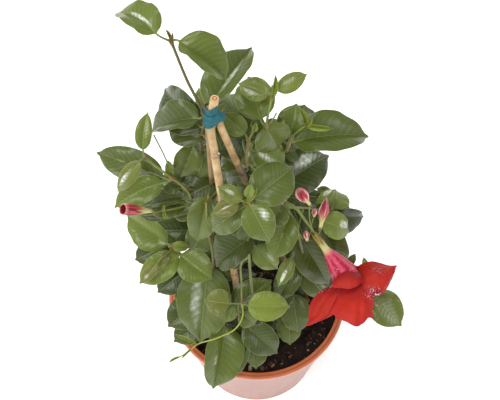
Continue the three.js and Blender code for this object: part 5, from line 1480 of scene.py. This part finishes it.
distances = np.linspace(0, mouth, THROAT_STEPS)
knots, widths = zip(*BLOOM_PROFILE)
outer = spread(np.interp(np.linspace(0, mouth, 15), knots, widths), THROAT_STEPS)
shell = [(d, r, 0.0) for d, r in zip(distances, outer)] + [(mouth + 0.6, mouth_radius - 0.5, 0.5)] \
    + [(d, max(r - PETAL_THICKNESS, 0.6), 1.0) for d, r in zip(distances[::-1], outer[::-1]) if d > 3]
places, throat_values, stripe_values, deep_values = [], [], [], []
for distance, radius, inward in shell:
    for j in range(THROAT_SIDES):
        turn = 2 * math.pi * j / THROAT_SIDES
        pleat = 1 + 0.07 * math.cos(5 * turn + 1) * (distance / mouth) ** 2 \
            + 0.03 * math.sin(9 * turn + 0.05 * distance) * distance / mouth
        places.append(BLOOM_NECK + BLOOM_AXIS * distance
                      + (left * math.cos(turn) + near * math.sin(turn)) * radius * pleat)
        throat_values.append(distance / mouth)
        stripe_values.append(j / THROAT_SIDES)
        deep_values.append(inward)
parts.append((places, tube_faces(len(shell), THROAT_SIDES),
              dict(throat=throat_values, stripe=stripe_values, deep=deep_values)))
for number in range(SEPALS):
    angle = 2 * math.pi * (number + 0.4) / SEPALS
    outward = left * math.cos(angle) + near * math.sin(angle)
    sideways = np.cross(BLOOM_AXIS, outward)
    grid = np.zeros((SEPAL_ROWS, SEPAL_COLUMNS, 3))
    for i, j, s, u in shares_of(SEPAL_ROWS, SEPAL_COLUMNS):
        half = SEPAL_WIDTH / 2 * max(0.02, min(1, 0.5 + 2 * s) * (1 - s ** 2.2))
        grid[i, j] = BLOOM_NECK + BLOOM_AXIS * (SEPAL_LENGTH * s - 5) + sideways * u * half \
            + outward * (2.4 + 0.9 * s + 0.6 * s ** 4 - 0.4 * u * u)
    parts.append(sheet_skin(grid, SEPAL_THICKNESS, dict(sepal=lambda s, u: 1)))
flower = gather("trumpet_flower", parts, petal_finish)
flower.data.set_sharp_from_angle(angle=SHEET_CREASE)
stand(flower, "petal", "bloom")

# Buds: five closed buds. Their petals are rolled round each other like a furled flag, pink and red, and each sits on
# a cream neck.
BUDS = [
    dict(name="bud_round", foot=at(311, 206, 332), tip=at(297.5, 189, 348),
         profile=[(0, 1.3), (0.26, 1.6), (0.36, 3), (0.52, 4.9), (0.68, 5.5), (0.85, 4.7), (0.95, 2.9), (1, 1)]),
    dict(name="bud_pointed", foot=at(319.6, 231, 299.8), tip=at(326.6, 197, 318),
         profile=[(0, 1.5), (0.25, 1.8), (0.38, 2.9), (0.52, 4.4), (0.62, 4.6), (0.8, 3), (1, 0.3)]),
    dict(name="bud_low", foot=at(307.3, 241.6, 293), tip=at(305.6, 231, 300),
         profile=[(0, 0.9), (0.35, 1.8), (0.6, 2.9), (0.85, 2.4), (1, 0.6)]),
    dict(name="bud_small", foot=at(313.8, 217.3, 309.2), tip=at(315, 209, 316),
         profile=[(0, 0.8), (0.35, 1.8), (0.6, 2.7), (0.85, 2.2), (1, 0.6)]),
    dict(name="bud_left", foot=at(158, 211.6, 325.4), tip=at(122.5, 209.3, 350), open=True,
         profile=[(0, 1.2), (0.25, 1.6), (0.45, 3), (0.62, 4.3), (0.8, 5), (0.93, 5.1), (1, 4.6)]),
]
BUD_ROWS = 40
BUD_SIDES = 40
BUD_PETALS = 5
BUD_TWIST = 1.6

bud_finish, nodes = new_material("furled_petal", Coat_Weight=0.15, Coat_Roughness=0.3)
rise, furl, streak, deep = map(nodes.carried, ("rise", "furl", "streak", "deep"))
patches, grain = mottled(nodes, 300.0, 1800.0)
streak = nodes.times_plus(patches, 0.2, streak)
pink = nodes.ramp(streak, [(0.25, "#7A0F22"), (0.55, "#A8202F"), (0.8, "#C3505A"), (1.0, "#E8BDB8")])
# Painted shade: deep paints the inside of the opening bud's mouth a dark red.
pink = nodes.tinted(pink, (nodes.remap(rise, 0.86, 1.0, 0.0, 0.45), "#E3B4AA"),
                    (nodes.remap(furl, 0.8, 1.0, 0.0, 0.8), "#6E0C22"), (deep, "#84201A"))
neck = nodes.blend(nodes.remap(rise, 0.06, 0.16), "#6E6128", "#CDCB86")
pink = nodes.blend(nodes.remap(nodes.times_plus(streak, 0.25, rise), 0.35, 0.7), neck, pink)
nodes.finish(Base_Color=pink, Roughness=nodes.remap(grain, 0.3, 0.7, 0.38, 0.5), Normal=nodes.bump(grain, 0.0002, 0.4))

for bud in BUDS:
    axis = bud["tip"] - bud["foot"]
    length = np.linalg.norm(axis)
    axis = axis / length
    across_bud = unit(np.cross(axis, [0, 0, 1]))
    other = np.cross(axis, across_bud)
    rows = [(i / BUD_ROWS, 1, 0) for i in range(BUD_ROWS + 1)]
    if bud.get("open"):
        rows += [(1 - 0.03 * i, 0.88 - 0.05 * i, 1) for i in range(1, 12)]
    places, rises, furls, streaks, deeps = [], [], [], [], []
    for share, narrowing, inward in rows:
        radius = np.interp(share, *zip(*bud["profile"])) * narrowing
        for j in range(BUD_SIDES):
            turn = 2 * math.pi * j / BUD_SIDES
            fold = (BUD_PETALS * turn / (2 * math.pi) - BUD_TWIST * share) % 1
            girth = radius * (1 + 0.1 * (fold - 0.5) * min(1, 3 * share))
            places.append(bud["foot"] + axis * length * share
                          + (across_bud * math.cos(turn) + other * math.sin(turn)) * girth)
            rises.append(share ** 1.4 if bud.get("open") else share)
            furls.append(fold)
            streaks.append(0.5 + noise.noise(Vector((2.6 * math.cos(turn), 2.6 * math.sin(turn),
                                                     1.5 * share + length))))
            deeps.append(inward)
    faces = [f[::-1] for f in tube_faces(len(rows), BUD_SIDES)]
    values = dict(rise=rises, furl=furls, streak=streaks, deep=deeps)
    piece = gather(bud["name"].replace("bud_", "") + "_furled_bud", [(places, faces, values)], bud_finish)
    stand(piece, "bud", bud["name"])
